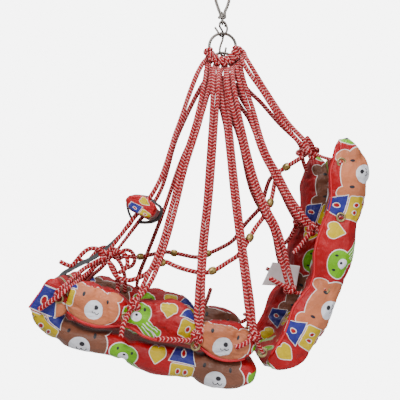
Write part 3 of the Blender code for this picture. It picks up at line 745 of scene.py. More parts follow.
def swell(obj, reach, hold, slack=0.05):
    """Fills a padded piece by cloth simulation: pressure inside and a little spare cloth. No point moves
    more than reach mm."""
    before = read_points(obj.data)
    cloth = obj.modifiers.new("filling", "CLOTH")
    for key, value in CLOTH.items():
        setattr(cloth.settings, key, value)
    cloth.settings.shrink_min = -slack
    cloth.settings.effector_weights.gravity = 0.0
    cloth.point_cache.frame_start = 1
    cloth.point_cache.frame_end = CLOTH_FRAMES
    for number in range(1, CLOTH_FRAMES + 1):
        bpy.context.scene.frame_set(number)
    move = read_points(obj.evaluated_get(bpy.context.evaluated_depsgraph_get()).data) - before
    obj.modifiers.remove(cloth)
    bpy.context.scene.frame_set(1)
    far = np.linalg.norm(move, axis=1)
    move *= np.minimum(1.0, reach * MM / np.maximum(far, 1e-9))[:, None]
    # the seams, the eyelets and the knots beside them hold the cloth where it is
    spots = [at(*q) for q in hold] + [at(side * x, y, z) for x, y, z in EYES.values() for side, _ in SIDES]
    near = np.min([np.linalg.norm(before - np.array(spot), axis=1) for spot in spots], axis=0)
    share = np.clip((near - HELD) / HELD_FADE, 0, 1)
    move *= (share * share * (3 - 2 * share))[:, None]
    obj.data.vertices.foreach_set("co", (before + move).ravel())
    obj.data.update()


SEAT_OUTLINE = [
    (-314, -455), (-326, -468), (-337, -483), (-332, -508), (-305, -537), (-257, -559), (-205, -569),
    (-170, -584), (-131, -600), (-64, -609), (-14, -625), (25, -624), (48, -606), (50, -590), (42, -579),
    (0, -573),
    (-50, -561), (-125, -548), (-200, -528), (-250, -520), (-278, -499), (-282, -470), (-284, -452),
    (-290, -441), (-297, -437),
]
SEAT_MID = [(-302, -452), (-312, -480), (-307, -504), (-285, -523), (-255, -536), (-203, -546), (-128, -570),
            (-58, -585), (-7, -599), (25, -600), (36, -598)]
BACK_OUTLINE = [
    (66, -592), (90, -596), (124, -589), (156, -541), (181, -484), (190, -447), (213, -385),
    (221, -335), (238, -268), (237, -228), (228, -206), (219, -208), (222, -236), (218, -285),
    (207, -335), (195, -385), (176, -440), (160, -484), (130, -534), (100, -566), (72, -580),
]
BACK_MID = [(80, -585), (104, -579), (130, -560), (149, -532), (172, -484), (184, -443), (204, -385),
            (214, -335), (228, -278), (230, -240), (228, -224)]

MATS = {
    "seat": dict(outline=SEAT_OUTLINE, half=150.0, mid=SEAT_MID, bears=[(-250, -537), (-20, -596)],
                 seams=[(-282, -524), (-172, -556), (-56, -586)], seed=3.0),
    "back": dict(outline=BACK_OUTLINE, half=112.0, mid=BACK_MID, bears=[(170, -490), (226, -285)],
                 seams=[(184, -443), (214, -338)], seed=8.0, rim=12.0, amp=0.5),
}
# of each mat: how far it swells and how full it is
MAT_FINISH = {"seat": (2.5, 0.7), "back": (2.0, 0.65)}
for part, shape in MATS.items():
    puff, fill = MAT_FINISH[part]
    made = mat_piece(part + "_mat_cloth", **shape)
    swell(made, puff, [], slack=0.04)
    attach(made, "swing", part + "_mat")

SEAT_EDGE = [
    (-269, -466, 0.86, 18), (-264, -468, 0.93, 24), (-250, -473, 0.98, 31), (-232, -479, 1.0, 35),
    (-212, -485, 1.0, 34), (-194, -490, 0.92, 29), (-180, -495, 0.78, 22), (-169, -499, 0.70, 17),
    (-159, -500, 0.76, 20), (-145, -501, 0.92, 28), (-120, -506, 1.0, 34), (-92, -512, 1.0, 33),
    (-74, -518, 0.92, 27), (-63, -524, 0.78, 19), (-54, -529, 0.70, 14), (-45, -531, 0.78, 18),
    (-34, -533, 0.92, 25), (-14, -539, 1.0, 32), (12, -546, 1.0, 30), (28, -551, 0.93, 23),
    (38, -555, 0.80, 15), (43, -557, 0.62, 9),
]
BACK_EDGE = [
    (70, -578, 0.55, 8), (80, -573, 0.78, 16), (96, -562, 0.95, 25), (114, -544, 1.0, 31),
    (127, -520, 1.0, 34), (137, -496, 0.98, 36), (149, -474, 0.90, 30), (159, -456, 0.86, 26),
    (165, -441, 0.88, 27), (170, -422, 0.95, 31), (175, -394, 1.0, 36), (182, -364, 0.98, 34),
    (190, -337, 0.90, 28), (197, -318, 0.92, 30), (202, -300, 0.97, 33), (204, -276, 1.0, 36),
    (204, -254, 1.0, 36), (204, -236, 0.94, 30), (201, -219, 0.80, 21), (198, -205, 0.60, 12),
    (197, -199, 0.45, 8),
]
ROLLS = {
    "seat": dict(x_mid=132.0, half=33.0, edge=SEAT_EDGE, bears=[(-226, -483), (-8, -541)], power=3.1,
                 pinches=[(-168, -500), (-53, -530)], lift=18.0),
    "back": dict(x_mid=141.5, half=27.0, edge=BACK_EDGE, bears=[(146, -478), (206, -262)], power=4.2,
                 pinches=[(158, -456), (191, -335)], cut=0.6),
}
# of each roll: its seed, how far it swells and how full it is, and its seam's place round it, height over the
# cloth and radius
ROLL_FINISH = {"seat": (11.0, 4.5, 0.75, -1.05, 0.8, 3.0), "back": (21.0, 3.5, 0.7, 0.82, 0.6, 1.8)}
for side, tag in SIDES:
    for part, shape in ROLLS.items():
        seed, puff, fill, seam_phi, proud, radius = ROLL_FINISH[part]
        made, rows, normal, phi = bolster(f"bolster_{part}_{tag}_cloth", side, seed=seed + side, **shape)
        col = int(np.argmin(np.abs(phi - seam_phi)))
        swell(made, puff, rows[::2, col])
        attach(made, "swing", f"bolster_{part}_{tag}")
        # bound seam along the roll
        seam = rows[3:-3, col] + normal[3:-3, col] * proud
        tape = tube(f"{part}_seam_{tag}", seam[::2], radius, MAT_PIPE, sides=8, spacing=4.0)
        attach(tape, "swing")


FLAP = [(-335, -485), (-318, -461), (-299, -438), (-289, -439), (-277, -457), (-267, -480), (-277, -497),
        (-303, -502), (-328, -498)]


def flap_piece(name, side):
    """Doubled corner of the seat's front edge, which carries the front eyelet."""
    ring = flat_path([*FLAP, FLAP[0]], 3.0)[:-1]
    middle = ring.mean(0)
    section = [(0.0, 136.0), (0.55, 137.0), (0.92, 139.0), (0.985, 142.0), (1.0, 145.0), (0.985, 148.0),
               (0.93, 149.8), (0.75, 150.4), (0.5, 150.6), (0.25, 150.7), (0.02, 150.7)]
    rows = np.zeros((len(section), len(ring), 3))
    for i, (k, x) in enumerate(section):
        rows[i, :, 1:] = middle + (ring - middle) * k
        rows[i, :, 0] = x
    puff = wrinkle(rows, 0.035, 40.0 + side)
    rows[:, :, 0] += puff * 2.2 * (np.array([k for k, _ in section]) < 0.97)[:, None]
    rows[:, :, 0] *= side
    y, z = rows[:, :, 1] + 305.0, rows[:, :, 2] + 465.0
    uvs = np.stack([197 + y * 0.85 - z * 0.36, 21 + y * 0.28 + z * 0.66], 2) / 100
    uvs = np.concatenate([uvs, uvs[:, :1]], 1)
    return grid_mesh(name, rows, uvs, MAT_BOLSTER)


for side, tag in SIDES:
    flap = flap_piece("front_flap_" + tag, side)
    attach(flap, "swing")
    edge = [(side * 146, y, z) for y, z in FLAP[:4]]
    hem = tube("front_flap_hem_" + tag, edge, 2.0, MAT_PIPE, sides=8, spacing=3.0)
    attach(hem, "swing")


# ---------------------------------------------------------------- cord, hooks and rings
def twist_shape(depth):
    """Section of a cord of two strands that turn once in 6 mm."""
    def shape(theta, s):
        return 1.0 - depth + depth * np.abs(np.cos((2 * theta - math.tau * s / 6.0) / 2)) * 1.3
    return shape


LOOP_LINE = [
    (7.2, 0, 50.2), (8.0, 0, 47.5), (6.0, 0, 44.6), (2.5, 0, 44.0), (-2.5, 0, 44.0),
    (-6.0, 0, 44.6), (-8.2, 0, 49.0), (-3.4, 0, 54.0), (0, -1.0, 57.2), (0, -2.0, 60.8),
    (0, -4.0, 64.5), (0, -8.5, 76.0), (0, -13.0, 92.0), (0, -13.0, 104.0), (0, -9.0, 112.5),
    (0, 0, 117.0), (0, 9.0, 112.5), (0, 13.0, 104.0), (0, 13.0, 92.0), (0, 8.5, 76.0),
    (0, 4.6, 67.0), (0, 4.3, 62.0),
]
# the cord's strand is thinner where it passes the hooks
loop_path = spline_path([(*q, 1.75 if q[2] < 53 else 3.1) for q in LOOP_LINE], 1.2)
loop = tube("hanging_cord_twist", loop_path, None, MAT_CORD, sides=14, raw=True, shape=twist_shape(0.16))
attach(loop, "suspension", "hanging_cord")


def knot_line(centre, size, tilt):
    """Closed trefoil, a thumb knot drawn tight."""
    out = []
    turns = [Matrix.Rotation(angle, 3, axis) for angle, axis in zip(tilt, "XYZ")]
    rot = turns[0] @ turns[1] @ turns[2]
    for k in range(61):
        t = math.tau * k / 60
        spot = rot @ Vector((math.sin(t) + 2 * math.sin(2 * t), math.cos(t) - 2 * math.cos(2 * t),
                             -1.35 * math.sin(3 * t)))
        out.append(tuple(c + q * size for c, q in zip(centre, spot)))
    return out


knot_path = knot_line((0, -1.0, 60.0), 2.3, (0.4, 1.35, 0.3))
cord_knot = tube("hanging_cord_knot", knot_path, 2.3, MAT_CORD, sides=10, spacing=1.2,
                 shape=twist_shape(0.14))
attach(cord_knot, "suspension")

SHORT_HOOK = [
    (2.6, -5.6, 39.5), (2.6, -5.6, 42.6), (2.6, -3.9, 46.5), (2.6, 0, 48.1), (2.6, 3.9, 46.5),
    (2.8, 6.6, 42.0), (4.2, 8.6, 36.0), (6.0, 8.2, 29.5), (5.6, 4.8, 23.0), (0, 0.3, 20.4),
    (-5.8, -4.4, 23.0), (-7.8, -8.4, 30.5), (-9.0, -13.8, 39.5),
]
x2, y2, z2 = LOWER_RING
top = z2 + RING_RADIUS
LONG_HOOK = [
    (-2.6, 5.6, 39.5), (-2.6, 5.6, 42.6), (-2.6, 3.9, 46.5), (-2.6, 0, 48.1), (-2.6, -3.9, 46.5),
    (-3.6, -5.2, 41.0), (-6.6, -0.4, 33.0), (-8.8, 1.8, 26.0), (-8.6, 0.8, 16.0), (-7.4, -3.2, 4.0),
    (x2 + 6.6, -5.0, top + 4.5), (x2 + 6.4, -3.8, top - 2.4), (x2, y2, top - 5.9),
    (x2 - 6.4, 4.8, top - 2.4), (x2 - 6.8, 6.6, top + 5.0), (x2 - 7.0, 8.0, top + 12.0),
]
for node, body, line in (("hook_short", "hook", SHORT_HOOK), ("hook_long", "long_hook", LONG_HOOK)):
    hook = tube(node + "_wire", line, 2.05, MAT_STEEL, sides=14, spacing=1.3)
    attach(hook, body, node)


def ring_piece(node, centre):
    around, section = 120, 16
    rows = np.zeros((around, section, 3))
    uvs = np.zeros((around + 1, section + 1, 2))
    for i in range(around + 1):
        a = math.tau * i / around
        for j in range(section + 1):
            b = math.tau * j / section
            uvs[i, j] = (j / section, RING_RADIUS * a / 100)
            if i < around and j < section:
                # a drawn wire butted and welded at one place
                thick = RING_WIRE * (1.0 + 0.10 * math.exp(-((i - 88) / 1.6) ** 2))
                reach = RING_RADIUS + thick * math.cos(b)
                rows[i, j] = (centre[0] + thick * math.sin(b), centre[1] + reach * math.cos(a),
                              centre[2] + reach * math.sin(a))
    obj = grid_mesh(node + "_wire", np.concatenate([rows, rows[:1]]), uvs, MAT_STEEL, cap=False)
    weld(obj, 1e-6)
    attach(obj, "swing", node)


ring_piece("ring_upper", UPPER_RING)
ring_piece("ring_lower", LOWER_RING)


# ---------------------------------------------------------------- ropes
def head_points(ring, angle, first, reach=14.0):
    """Cow hitch on a ring's wire: up behind the bight, over the wire, across the front and back down."""
    o = np.array([0, math.cos(angle), math.sin(angle)])
    t = np.array([0, -math.sin(angle), math.cos(angle)])
    xa = np.array([1.0, 0, 0])
    wire = np.array(ring) + o * RING_RADIUS
    g = 3.5 * first
    spots = [(reach, -3.4, g), (7.0, -5.2, g), (0.5, -5.8, g), (-4.3, -2.7, g), (-4.3, 2.7, g), (0.5, 5.9, g),
             (6.2, 6.6, g * 1.25), (9.8, 6.2, g * 0.6)]
    spots += [(a, b, -c) for a, b, c in spots[::-1]]
    if reach < 9:
        spots[:2] = [(8.0, -4.0, 6.5), (6.0, -5.4, 4.6)]
    return [tuple(wire + o * (a + 0.8) + xa * b + t * c) + (3.65 if a > 0 else 3.1,) for a, b, c in spots]


def braid(name, path, side, radius=ROPE_RADIUS):
    return tube(name, path, radius, MAT_ROPE if side > 0 else MAT_ROPE_FAR, sides=12, raw=True, spin=0.6)


def rope_piece(key, side, ring, route, tail, doubled, eyelet, knot_size, knot_tilt):
    """A rope from its hitch on a ring to its knot at the seat, with the knot and the tail beyond it."""
    angle_deg = ANGLES[key]
    angle = math.radians(angle_deg)
    t = Vector((0, -math.sin(angle), math.cos(angle)))
    spots = [Vector(p) for p in route]
    legs = [[], []]
    flats = []
    for k, spot in enumerate(spots):
        along = (spots[min(k + 1, len(spots) - 1)] - spots[max(k - 1, 0)]).normalized()
        flat = Vector((0, along.z, -along.y)).normalized()
        flats.append(flat)
        lean = 0.45 * math.sin(1.7 * k + angle_deg) if side > 0 else 0.0
        reach = (flat * math.cos(lean) + Vector((math.sin(lean), 0, 0))) * ROPE_SPACING / 2
        legs[0].append(tuple(spot + reach) + (ROPE_RADIUS,))
        legs[1].append(tuple(spot - reach) + (ROPE_RADIUS,))
    knot = tuple(spots[-1]) + (3.2,)
    first = 1.0 if key == "front" or flats[0].dot(t) > 0 else -1.0
    head = head_points(ring, angle, first, {"front": 8.0, "back_c": 10.5}.get(key, 14.0))
    eye = [] if eyelet is None else [tuple(eyelet) + (3.2,)]
    ends = [tuple(q) + (ROPE_RADIUS,) for q in tail]
    if doubled:
        chain = eye + [knot] + legs[0][-2::-1] + head + legs[1][:-1] + [knot] + ends
    else:
        middle = [tuple(q) + (ROPE_RADIUS,) for q in spots[:-1]]
        chain = ends[::-1] + [knot] + middle[::-1] + head[:-1]
    path = spline_path(chain, 3.0)
    name = f"rope_{key}_{'left' if side > 0 else 'right'}"
    obj = braid(name + "_braid", path, side)
    attach(obj, "swing", name)
    knot_path = knot_line(spots[-1], knot_size, knot_tilt)
    ball = tube(name + "_knot", knot_path, 3.7, obj.data.materials[0], sides=10, spacing=2.4)
    attach(ball, "swing")


# each hitch's place on its ring, in degrees
ANGLES = {"front": 203, "seat_a": 228, "seat_b": 252, "seat_c": 276, "back_a": 299, "back_b": 322,
          "back_c": 345}
# of each rope: its route from the ring to its knot, its tail past the knot, and whether it is doubled
LEFT = {
    "seat_a": ([(5, -27, -44), (42, -48, -150), (66, -76, -244), (84, -92, -311), (124, -117, -399),
                (150, -140, -450), (160, -158, -480)],
               [(165, -168, -498), (171, -175, -513), (174, -178, -530)], True),
    "seat_b": ([(14, -13, -46), (50, -20, -168), (78, -31, -300), (104, -41, -389), (130, -45, -440),
                (152, -49, -503), (160, -51, -532)],
               [(163, -66, -538), (170, -88, -537), (174, -107, -535), (174, -117, -535)], True),
    "seat_c": ([(5, 2, -46), (40, 9, -168), (80, 19, -300), (104, 26, -371), (130, 33, -440),
                (152, 39, -500), (160, 43, -531)],
               [(166, 36, -538), (170, 24, -545), (172, 12, -549)], True),
    "back_a": ([(17, 14, -48), (53, 33, -180), (74, 60, -285), (86, 74, -321), (92, 86, -345),
                (108, 103, -415), (115, 112, -458)],
               [(116, 101, -452), (117, 91, -447), (118, 76, -438)], True),
    "back_b": ([(5, 31, -40), (29, 52, -129), (66, 79, -226), (72, 93, -252), (88, 116, -300),
                (98, 135, -331), (104, 154, -352)],
               [(108, 143, -366), (109, 132, -380), (110, 119, -394)], True),
    "back_c": ([(12, 41, -28), (32, 75, -90), (54, 118, -162), (72, 142, -194), (90, 157, -214)],
               [(101, 154, -204), (106, 149, -197), (109, 143, -190)], True),
}
RIGHT = {
    "seat_a": ([(-23, -30, -84), (-60, -86, -233), (-84, -113, -311), (-122, -150, -404),
                (-146, -168, -450), (-160, -174, -478)],
               [(-164, -180, -494), (-171, -184, -510), (-174, -186, -526)], False),
    "seat_b": ([(-31, -12, -84), (-52, -17, -155), (-80, -26, -291), (-113, -34, -392),
                (-124, -39, -443), (-144, -42, -497), (-165, -42, -533)],
               [(-169, -34, -519), (-171, -24, -498), (-172, -16, -474)], True),
    "seat_c": ([(-22, 3, -84), (-42, 13, -155), (-80, 30, -291), (-110, 42, -371),
                (-124, 53, -443), (-144, 60, -496), (-163, 63, -531)],
               [(-166, 54, -541), (-170, 44, -545), (-172, 34, -546)], True),
    "back_a": ([(-32, 17, -84), (-56, 42, -175), (-78, 72, -285), (-90, 90, -315),
                (-94, 106, -341), (-108, 124, -408), (-119, 130, -447)],
               [(-119, 119, -440), (-120, 109, -435), (-121, 97, -430)], True),
    "back_b": ([(-23, 29, -79), (-42, 60, -135), (-66, 90, -202), (-74, 107, -235),
                (-84, 128, -275), (-98, 151, -317), (-104, 159, -337)],
               [(-106, 151, -351), (-106, 143, -366), (-107, 133, -378)], True),
    "back_c": ([(-29, 43, -66), (-44, 80, -102), (-52, 119, -144), (-60, 136, -158),
                (-75, 156, -174), (-88, 166, -193)],
               [(-99, 170, -210), (-105, 174, -220), (-111, 179, -230)], False),
}
for side, ring, table in ((1, UPPER_RING, LEFT), (-1, LOWER_RING, RIGHT)):
    for k, (key, (route, tail, doubled)) in enumerate(table.items()):
        x, y, z = EYES[key]
        rope_piece(key, side, ring, route, tail, doubled, (side * x, y, z), 3.3,
                   (0.5 + k * 0.9, 1.1 + k * 0.7, 0.3 * k + (0 if side > 0 else 1.0)))


BAR_CENTRE = (-148.5, -313.5)
BAR_TILT = math.radians(-37.5)
BAR_X = 95.0    # from the middle to each front rope's hole
THROUGH = Vector((0, math.sin(BAR_TILT), -math.cos(BAR_TILT)))
ACROSS = Vector((0, THROUGH.z, -THROUGH.y))
# for the left side, and mirrored for the right: the front rope's tail, and the pieces loose at its knot
FRONT_TAIL = [(103, -240, -427), (121, -256, -440), (141, -266, -450), (157, -279, -461), (159, -297, -474),
              (159, -316, -487)]
FRONT_ENDS = {
    "strand": [(98, -218, -404), (109, -246, -420), (127, -262, -434), (145, -274, -447), (158, -287, -459),
               (153, -290, -468)],
    "tail": [(97, -216, -396), (103, -226, -387), (108, -240, -387), (110, -252, -396), (110, -262, -408),
             (110, -270, -416), (111, -279, -414), (111, -289, -409)],
    "loop": [(95, -206, -402), (99, -194, -392), (103, -184, -392), (105, -175, -401), (106, -173, -413),
             (107, -178, -423), (107, -187, -428)],
    "drop": [(95, -211, -405), (89, -200, -418), (85, -194, -432), (87, -191, -447), (93, -191, -463),
             (99, -192, -474)],
}
for side, ring, start in ((1, UPPER_RING, (7, -37, -33)), (-1, LOWER_RING, (-22, -37, -68))):
    centre = Vector((side * BAR_X, *BAR_CENTRE))
    route = [start, (side * 52, -86, -165)] + [tuple(centre + THROUGH * far) for far in (-30, 30, 108)]
    tail = mirrored(FRONT_TAIL, side)
    rope_piece("front", side, ring, route, tail, False, None, 3.4, (0.7, 1.2, 0.4 * side))
for side, tag in SIDES:
    for key, line in FRONT_ENDS.items():
        path = spline_path(mirrored(line, side), 3.0)
        obj = braid(f"front_{key}_{tag}", path, side, ROPE_RADIUS * 0.96)
        attach(obj, "swing")


# ---------------------------------------------------------------- guard ropes and beads
GUARD = {
    1: [(106, -205, -410), (111, -192, -434), (114, -168, -441), (117, -140, -430), (118, -121, -413),
        (117, -104, -411), (115, -80, -420), (113, -46, -428), (111, -22, -424), (106, 6, -408),
        (101, 27, -392), (88, 52, -352), (79, 66, -334), (73, 77, -316), (68, 86, -292),
        (64, 91, -268), (61, 97, -250), (62, 110, -240), (69, 126, -230), (77, 140, -221)],
    -1: [(-104, -205, -410), (-106, -192, -404), (-107, -172, -406), (-107, -144, -402), (-106, -116, -396),
         (-105, -98, -397), (-105, -72, -402), (-105, -46, -406), (-103, -22, -398), (-101, 4, -386),
         (-96, 26, -372), (-88, 48, -342), (-81, 62, -326), (-75, 76, -310), (-70, 85, -290),
         (-66, 91, -268), (-62, 98, -250), (-62, 110, -240), (-68, 124, -230), (-75, 136, -220)],
}
BEAD_SPOTS = {1: (4.5, 7.9, 10.6, 13.5, 17.2), -1: (2.4, 5.2, 7.9, 10.6, 13.5, 17.2)}


def catmull(points, t):
    """Point at t on a smooth curve whose points are one apart."""
    last = len(points) - 1
    i = min(int(t), last - 1)
    u = t - i
    p1, p2 = (np.array(q, float) for q in points[i:i + 2])
    p0 = np.array(points[i - 1], float) if i > 0 else 2 * p1 - p2
    p3 = np.array(points[i + 2], float) if i + 2 <= last else 2 * p2 - p1
    return 0.5 * (2 * p1 + (p2 - p0) * u + (2 * p0 - 5 * p1 + 4 * p2 - p3) * u * u
                  + (3 * p1 - p0 - 3 * p2 + p3) * u ** 3)


def lathe(name, profile, centre, axis, mat):
    """Turned piece: profile is a closed list of (radius, along) in mm."""
    around = 28
    look = Vector(axis).normalized().to_track_quat("Z", "Y").to_matrix()
    prof = np.array(profile)
    rows = np.zeros((around + 1, len(prof), 3))
    for i in range(around + 1):
        a = math.tau * i / around
        for j, (r, h) in enumerate(prof):
            rows[i, j] = np.array(centre) + look @ Vector((r * math.cos(a), r * math.sin(a), h))
    uvs = np.zeros((around + 1, len(prof) + 1, 2))
    uvs[:, :, 0] = lengths(np.concatenate([prof, prof[:1]]))[None] / 100
    uvs[:, :, 1] = np.linspace(0, 0.4, around + 1)[:, None]
    obj = grid_mesh(name, rows, uvs, mat, cap=False)
    weld(obj, 1e-7)
    return obj


def bead_profile():
    out = []
    for k in range(13):
        a = math.pi * (k / 12 - 0.5)
        bulge = 2.2 * math.cos(a) ** 0.7 if 0 < k < 12 else 0.0
        # two turned grooves near the ends
        groove = 0.4 if k in (3, 9) else 0.0
        out.append((4.9 + bulge - groove, 6.2 * math.sin(a)))
    # back through the bore
    return out + [(4.56, 4.6), (4.5, 0.0), (4.56, -4.6)]


for side, tag in SIDES:
    route = GUARD[side]
    points = [Vector(catmull(route, k / 2)) for k in range((len(route) - 1) * 2 + 1)]
    for number, spot in enumerate(BEAD_SPOTS[side]):
        here = Vector(catmull(route, spot))
        along = (Vector(catmull(route, spot + 0.05)) - Vector(catmull(route, spot - 0.05))).normalized()
        past = [(p - here).dot(along) > -1.0 and (p - here).length < 40 for p in points]
        place = past.index(True)
        # the rope runs straight through the bead's bore
        before = [p for p in points[:place] if (p - here).length > 12]
        after = [p for p in points[place:] if (p - here).length > 12]
        points = before + [here - along * 8.5, here + along * 8.5] + after
        node = f"bead_{tag}_{number + 1}"
        bead = lathe(node + "_turned", bead_profile(), here, along, MAT_BEAD)
        attach(bead, "body_" + node, node)
    path = spline_path([tuple(p) for p in points], 3.0)
    obj = braid("guard_rope_" + tag + "_braid", path, side)
    attach(obj, "swing", "guard_rope_" + tag)


# ---------------------------------------------------------------- eyelets
def eyelet_profile():
    roll = [math.pi * k / 10 for k in range(1, 10)]
    rim = [(6.6 - 1.95 * math.cos(a), 0.2 + 1.5 * math.sin(a)) for a in roll]
    return [(4.65, -1.1), (4.65, 0.2)] + rim + [(8.5, 0.1), (8.3, -0.6), (7.0, -1.1)]


for side, tag in SIDES:
    for key, (x, y, z) in EYES.items():
        node = f"eyelet_{key}_{tag}"
        disc = lathe(node + "_rolled", eyelet_profile(), (side * x, y, z), (side, 0, 0), MAT_BRASS)
        attach(disc, "swing", node)


# ---------------------------------------------------------------- bar
BAR_SECTION = [(30.0, 7.0), (28.5, -3.4), (9.0, -17.4), (-21.5, -16.4), (-26.0, -2.0), (-20.5, 9.5),
               (14.5, 16.6)]


def bar_section(around):
    """Soft profile of the bar's padding, across and through it, in mm, with its seven corners cut twice."""
    ring = np.array([*BAR_SECTION, BAR_SECTION[0]])
    for _ in range(2):
        a = ring[:-1] * 0.88 + ring[1:] * 0.12
        b = ring[:-1] * 0.12 + ring[1:] * 0.88
        ring = np.stack([a, b], 1).reshape(-1, 2)
        ring = np.concatenate([ring, ring[:1]])
    s = lengths(ring)
    grid = np.linspace(0, s[-1], around + 1)
    return np.stack([np.interp(grid, s, ring[:, 0]), np.interp(grid, s, ring[:, 1])], 1), s[-1]


def bar_place(x, u, v):
    """Place of a point u across and v through the bar, x from its middle."""
    off = ACROSS * u + THROUGH * v
    return x, BAR_CENTRE[0] + off.y, BAR_CENTRE[1] + off.z


def bar_piece():
    half = 118.0
    ends = [(-half + 0.6, 0.04), (-half + 0.3, 0.3), (-half + 0.2, 0.55), (-half + 0.6, 0.76)]
    curve = np.linspace(0.25, math.pi / 2, 7)
    ends += [(-half + 9 * (1 - math.cos(q)), 0.82 + 0.18 * math.sin(q)) for q in curve]
    middle = [(x, 1.0) for x in np.linspace(-half + 12, half - 12, 48)]
    stations = ends + middle + [(-x, k) for x, k in ends[::-1]]
    ring, girth = bar_section(AROUND)
    rows = np.zeros((len(stations), AROUND + 1, 3))
    uvs = np.zeros((len(stations), AROUND + 1, 2))
    for i, (x, k) in enumerate(stations):
        near_end = max(0.0, abs(x) - (half - 30)) / 30
        for j in range(AROUND + 1):
            u, v = ring[j] * k
            pleat = 1 + 0.03 * near_end * math.cos(17 * math.tau * j / AROUND) * k
            pleat += 0.03 * noise.fractal(Vector((x * 0.03, u * 0.06, v * 0.06)), 0.9, 2.1, 3)
            rows[i, j] = bar_place(x, u * pleat, v * pleat)
            if k < 0.99:
                uvs[i, j] = ((174 + v * 2.6) / 100, (3 + u * 1.5) / 100)
            else:
                uvs[i, j] = ((x + 76) / 100, (j / AROUND * girth - 20) / 100)
    return grid_mesh("bar_cover_cloth", rows[:, :AROUND], uvs, MAT_BAR)


bar = bar_piece()
attach(bar, "bar", "bar_cover")
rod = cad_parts["bar_rod"]
rod.data.materials.clear()
rod.data.materials.append(MAT_WOOD)
for side, tag in SIDES:
    ring_line = [bar_place(side * 110, u * 0.985, v * 0.985) for u, v in bar_section(48)[0]]
    tape = tube("bar_seam_" + tag, ring_line, 1.3, MAT_PIPE, sides=8, spacing=3.0)
    attach(tape, "bar")


# ---------------------------------------------------------------- strap
STRAP_RUN = [(-312, -441), (-276, -420), (-238, -401), (-207, -376), (-184, -352)]
STRAP_LOOP = [
    (5, 31), (15, 25.5), (26, 18), (34.5, 8.5), (33.5, -6), (20, -16.8), (9.0, -22.2), (-8, -22.0),
    (-23.5, -20.8), (-29.5, -13), (-31.0, -2), (-27, 8), (-17, 18), (-6, 26),
]
STRAP_SECTION = [(-10, 0.0), (-9.6, 0.75), (-5, 0.9), (0, 0.9), (5, 0.9), (9.6, 0.75), (10, 0.0),
                 (9.6, -0.75), (5, -0.9), (0, -0.9), (-5, -0.9), (-9.6, -0.75)]


def strap_piece():
    """The strap from the front hem up to the bar and once round it."""
    line = flat_path(STRAP_RUN + [Vector(bar_place(0, u, v)).yz for u, v in STRAP_LOOP], 2.5)
    s = lengths(line)
    along = np.gradient(line, axis=0)
    along /= np.linalg.norm(along, axis=1)[:, None]
    normal = np.stack([-along[:, 1], along[:, 0]], 1)
    rows = np.zeros((len(line), len(STRAP_SECTION), 3))
    uvs = np.zeros((len(line), len(STRAP_SECTION) + 1, 2))
    for i in range(len(line)):
        # the strap turns a little on its way, most where it hangs free
        rise = min(1.0, s[i] / 12)
        free = rise * min(1.0, max(0.0, 1.0 - (s[i] - 140) / 30))
        roll = math.radians(13 * rise + 11 * free)
        for j, (x, h) in enumerate(STRAP_SECTION):
            spot = line[i] + normal[i] * (h * math.cos(roll) - x * math.sin(roll))
            rows[i, j] = (x * math.cos(roll) + h * math.sin(roll), *spot)
            uvs[i, j] = (x / 100, s[i] / 100)
        uvs[i, -1] = uvs[i, 0]
    return grid_mesh("crotch_strap_web", rows, uvs, MAT_WEB), float(s[-1]) * MM


strap, strap_length = strap_piece()
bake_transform(strap)
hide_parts("crotch_strap")


# ---------------------------------------------------------------- label
def label_piece():
    """Thin waved patch between four (y, z) corners, its front points followed by its rear points."""
    corners = np.array([(84, -462), (154, -466), (162, -424), (106, -416)])
    n = 24
    rows = np.zeros((n + 1, 2 * n + 2, 3))
    uvs = np.zeros((n + 1, 2 * n + 3, 2))
    for i in range(n + 1):
        a = i / n
        one = corners[0] * (1 - a) + corners[3] * a
        two = corners[1] * (1 - a) + corners[2] * a
        for j in range(n + 1):
            b = j / n
            y, z = one * (1 - b) + two * b
            wave = 0.5 * math.sin(b * 7 + a * 3) + 0.3 * math.sin(a * 9)
            rows[i, j] = (-95.9 + wave, y, z)
            rows[i, -1 - j] = (-96.9 + wave, y, z)
        for j in range(2 * n + 3):
            uvs[i, j] = (min(j, max(0, 2 * n + 1 - j)) / n * 0.5 if j > n else j / n * 0.5, a * 0.6)
    return grid_mesh("blank_label_cloth", rows, uvs, MAT_LABEL)


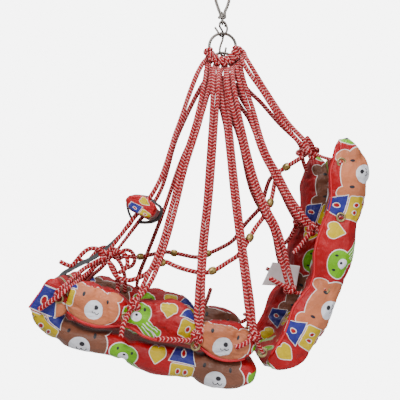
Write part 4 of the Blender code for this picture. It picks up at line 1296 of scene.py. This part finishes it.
attach(label_piece(), "swing", "blank_label")


# ---------------------------------------------------------------- floor and light
def floor_piece():
    mesh = bpy.data.meshes.new("floor")
    count = 64
    rim = [math.tau * k / count for k in range(count)]
    verts = [(0, 0, FLOOR_Z)]
    verts += [(FLOOR_RADIUS * math.cos(a), FLOOR_RADIUS * math.sin(a), FLOOR_Z) for a in rim]
    mesh.from_pydata(verts, [], [(0, 1 + k, 1 + (k + 1) % count) for k in range(count)])
    n = new_material("pale_floor")
    cloud = n.noise(None, 3.0, 2.0)
    n.put(n.shader.inputs["Base Color"], n.mix(cloud, (0.80, 0.80, 0.80, 1), (0.84, 0.84, 0.84, 1)))
    n.shader.inputs["Roughness"].default_value = 0.8
    mesh.materials.append(n.mat)
    new_object("floor", mesh)


def sky():
    """White all round: soft as a light, bright where the camera sees it."""
    world = bpy.data.worlds.new("studio")
    bpy.context.scene.world = world
    world.use_nodes = True
    w = Net(world.node_tree)
    out = next(k for k in world.node_tree.nodes if k.type == "OUTPUT_WORLD")
    light = next(k for k in world.node_tree.nodes if k.type == "BACKGROUND")
    seen = w.node("ShaderNodeBackground")
    for made, strength in ((light, SKY_LIGHT), (seen, SKY_SEEN)):
        w.fill(made, (1, 1, 1, 1), strength)
    camera_ray = w.node("ShaderNodeLightPath").outputs["Is Camera Ray"]
    pick = w.fill(w.node("ShaderNodeMixShader"), camera_ray, light.outputs[0], seen.outputs[0])
    w.put(out.inputs["Surface"], pick[0])


floor_piece()
sky()


def area(name, place, size, power):
    """Round soft lamp that faces the middle of the seat."""
    data = bpy.data.lights.new(name, "AREA")
    data.shape = "DISK"
    data.size = size
    data.energy = power
    lamp = new_object(name, data)
    lamp.location = place
    lamp.rotation_mode = "QUATERNION"
    lamp.rotation_quaternion = (Vector((0, 0, -0.5)) - Vector(place)).to_track_quat("-Z", "Y")


area("key", (1.5, -0.5, 0.7), 0.8, 40)
area("fill", (1.7, 1.0, -0.2), 1.2, 13)
area("top", (-0.1, 0.1, 1.0), 0.7, 22)
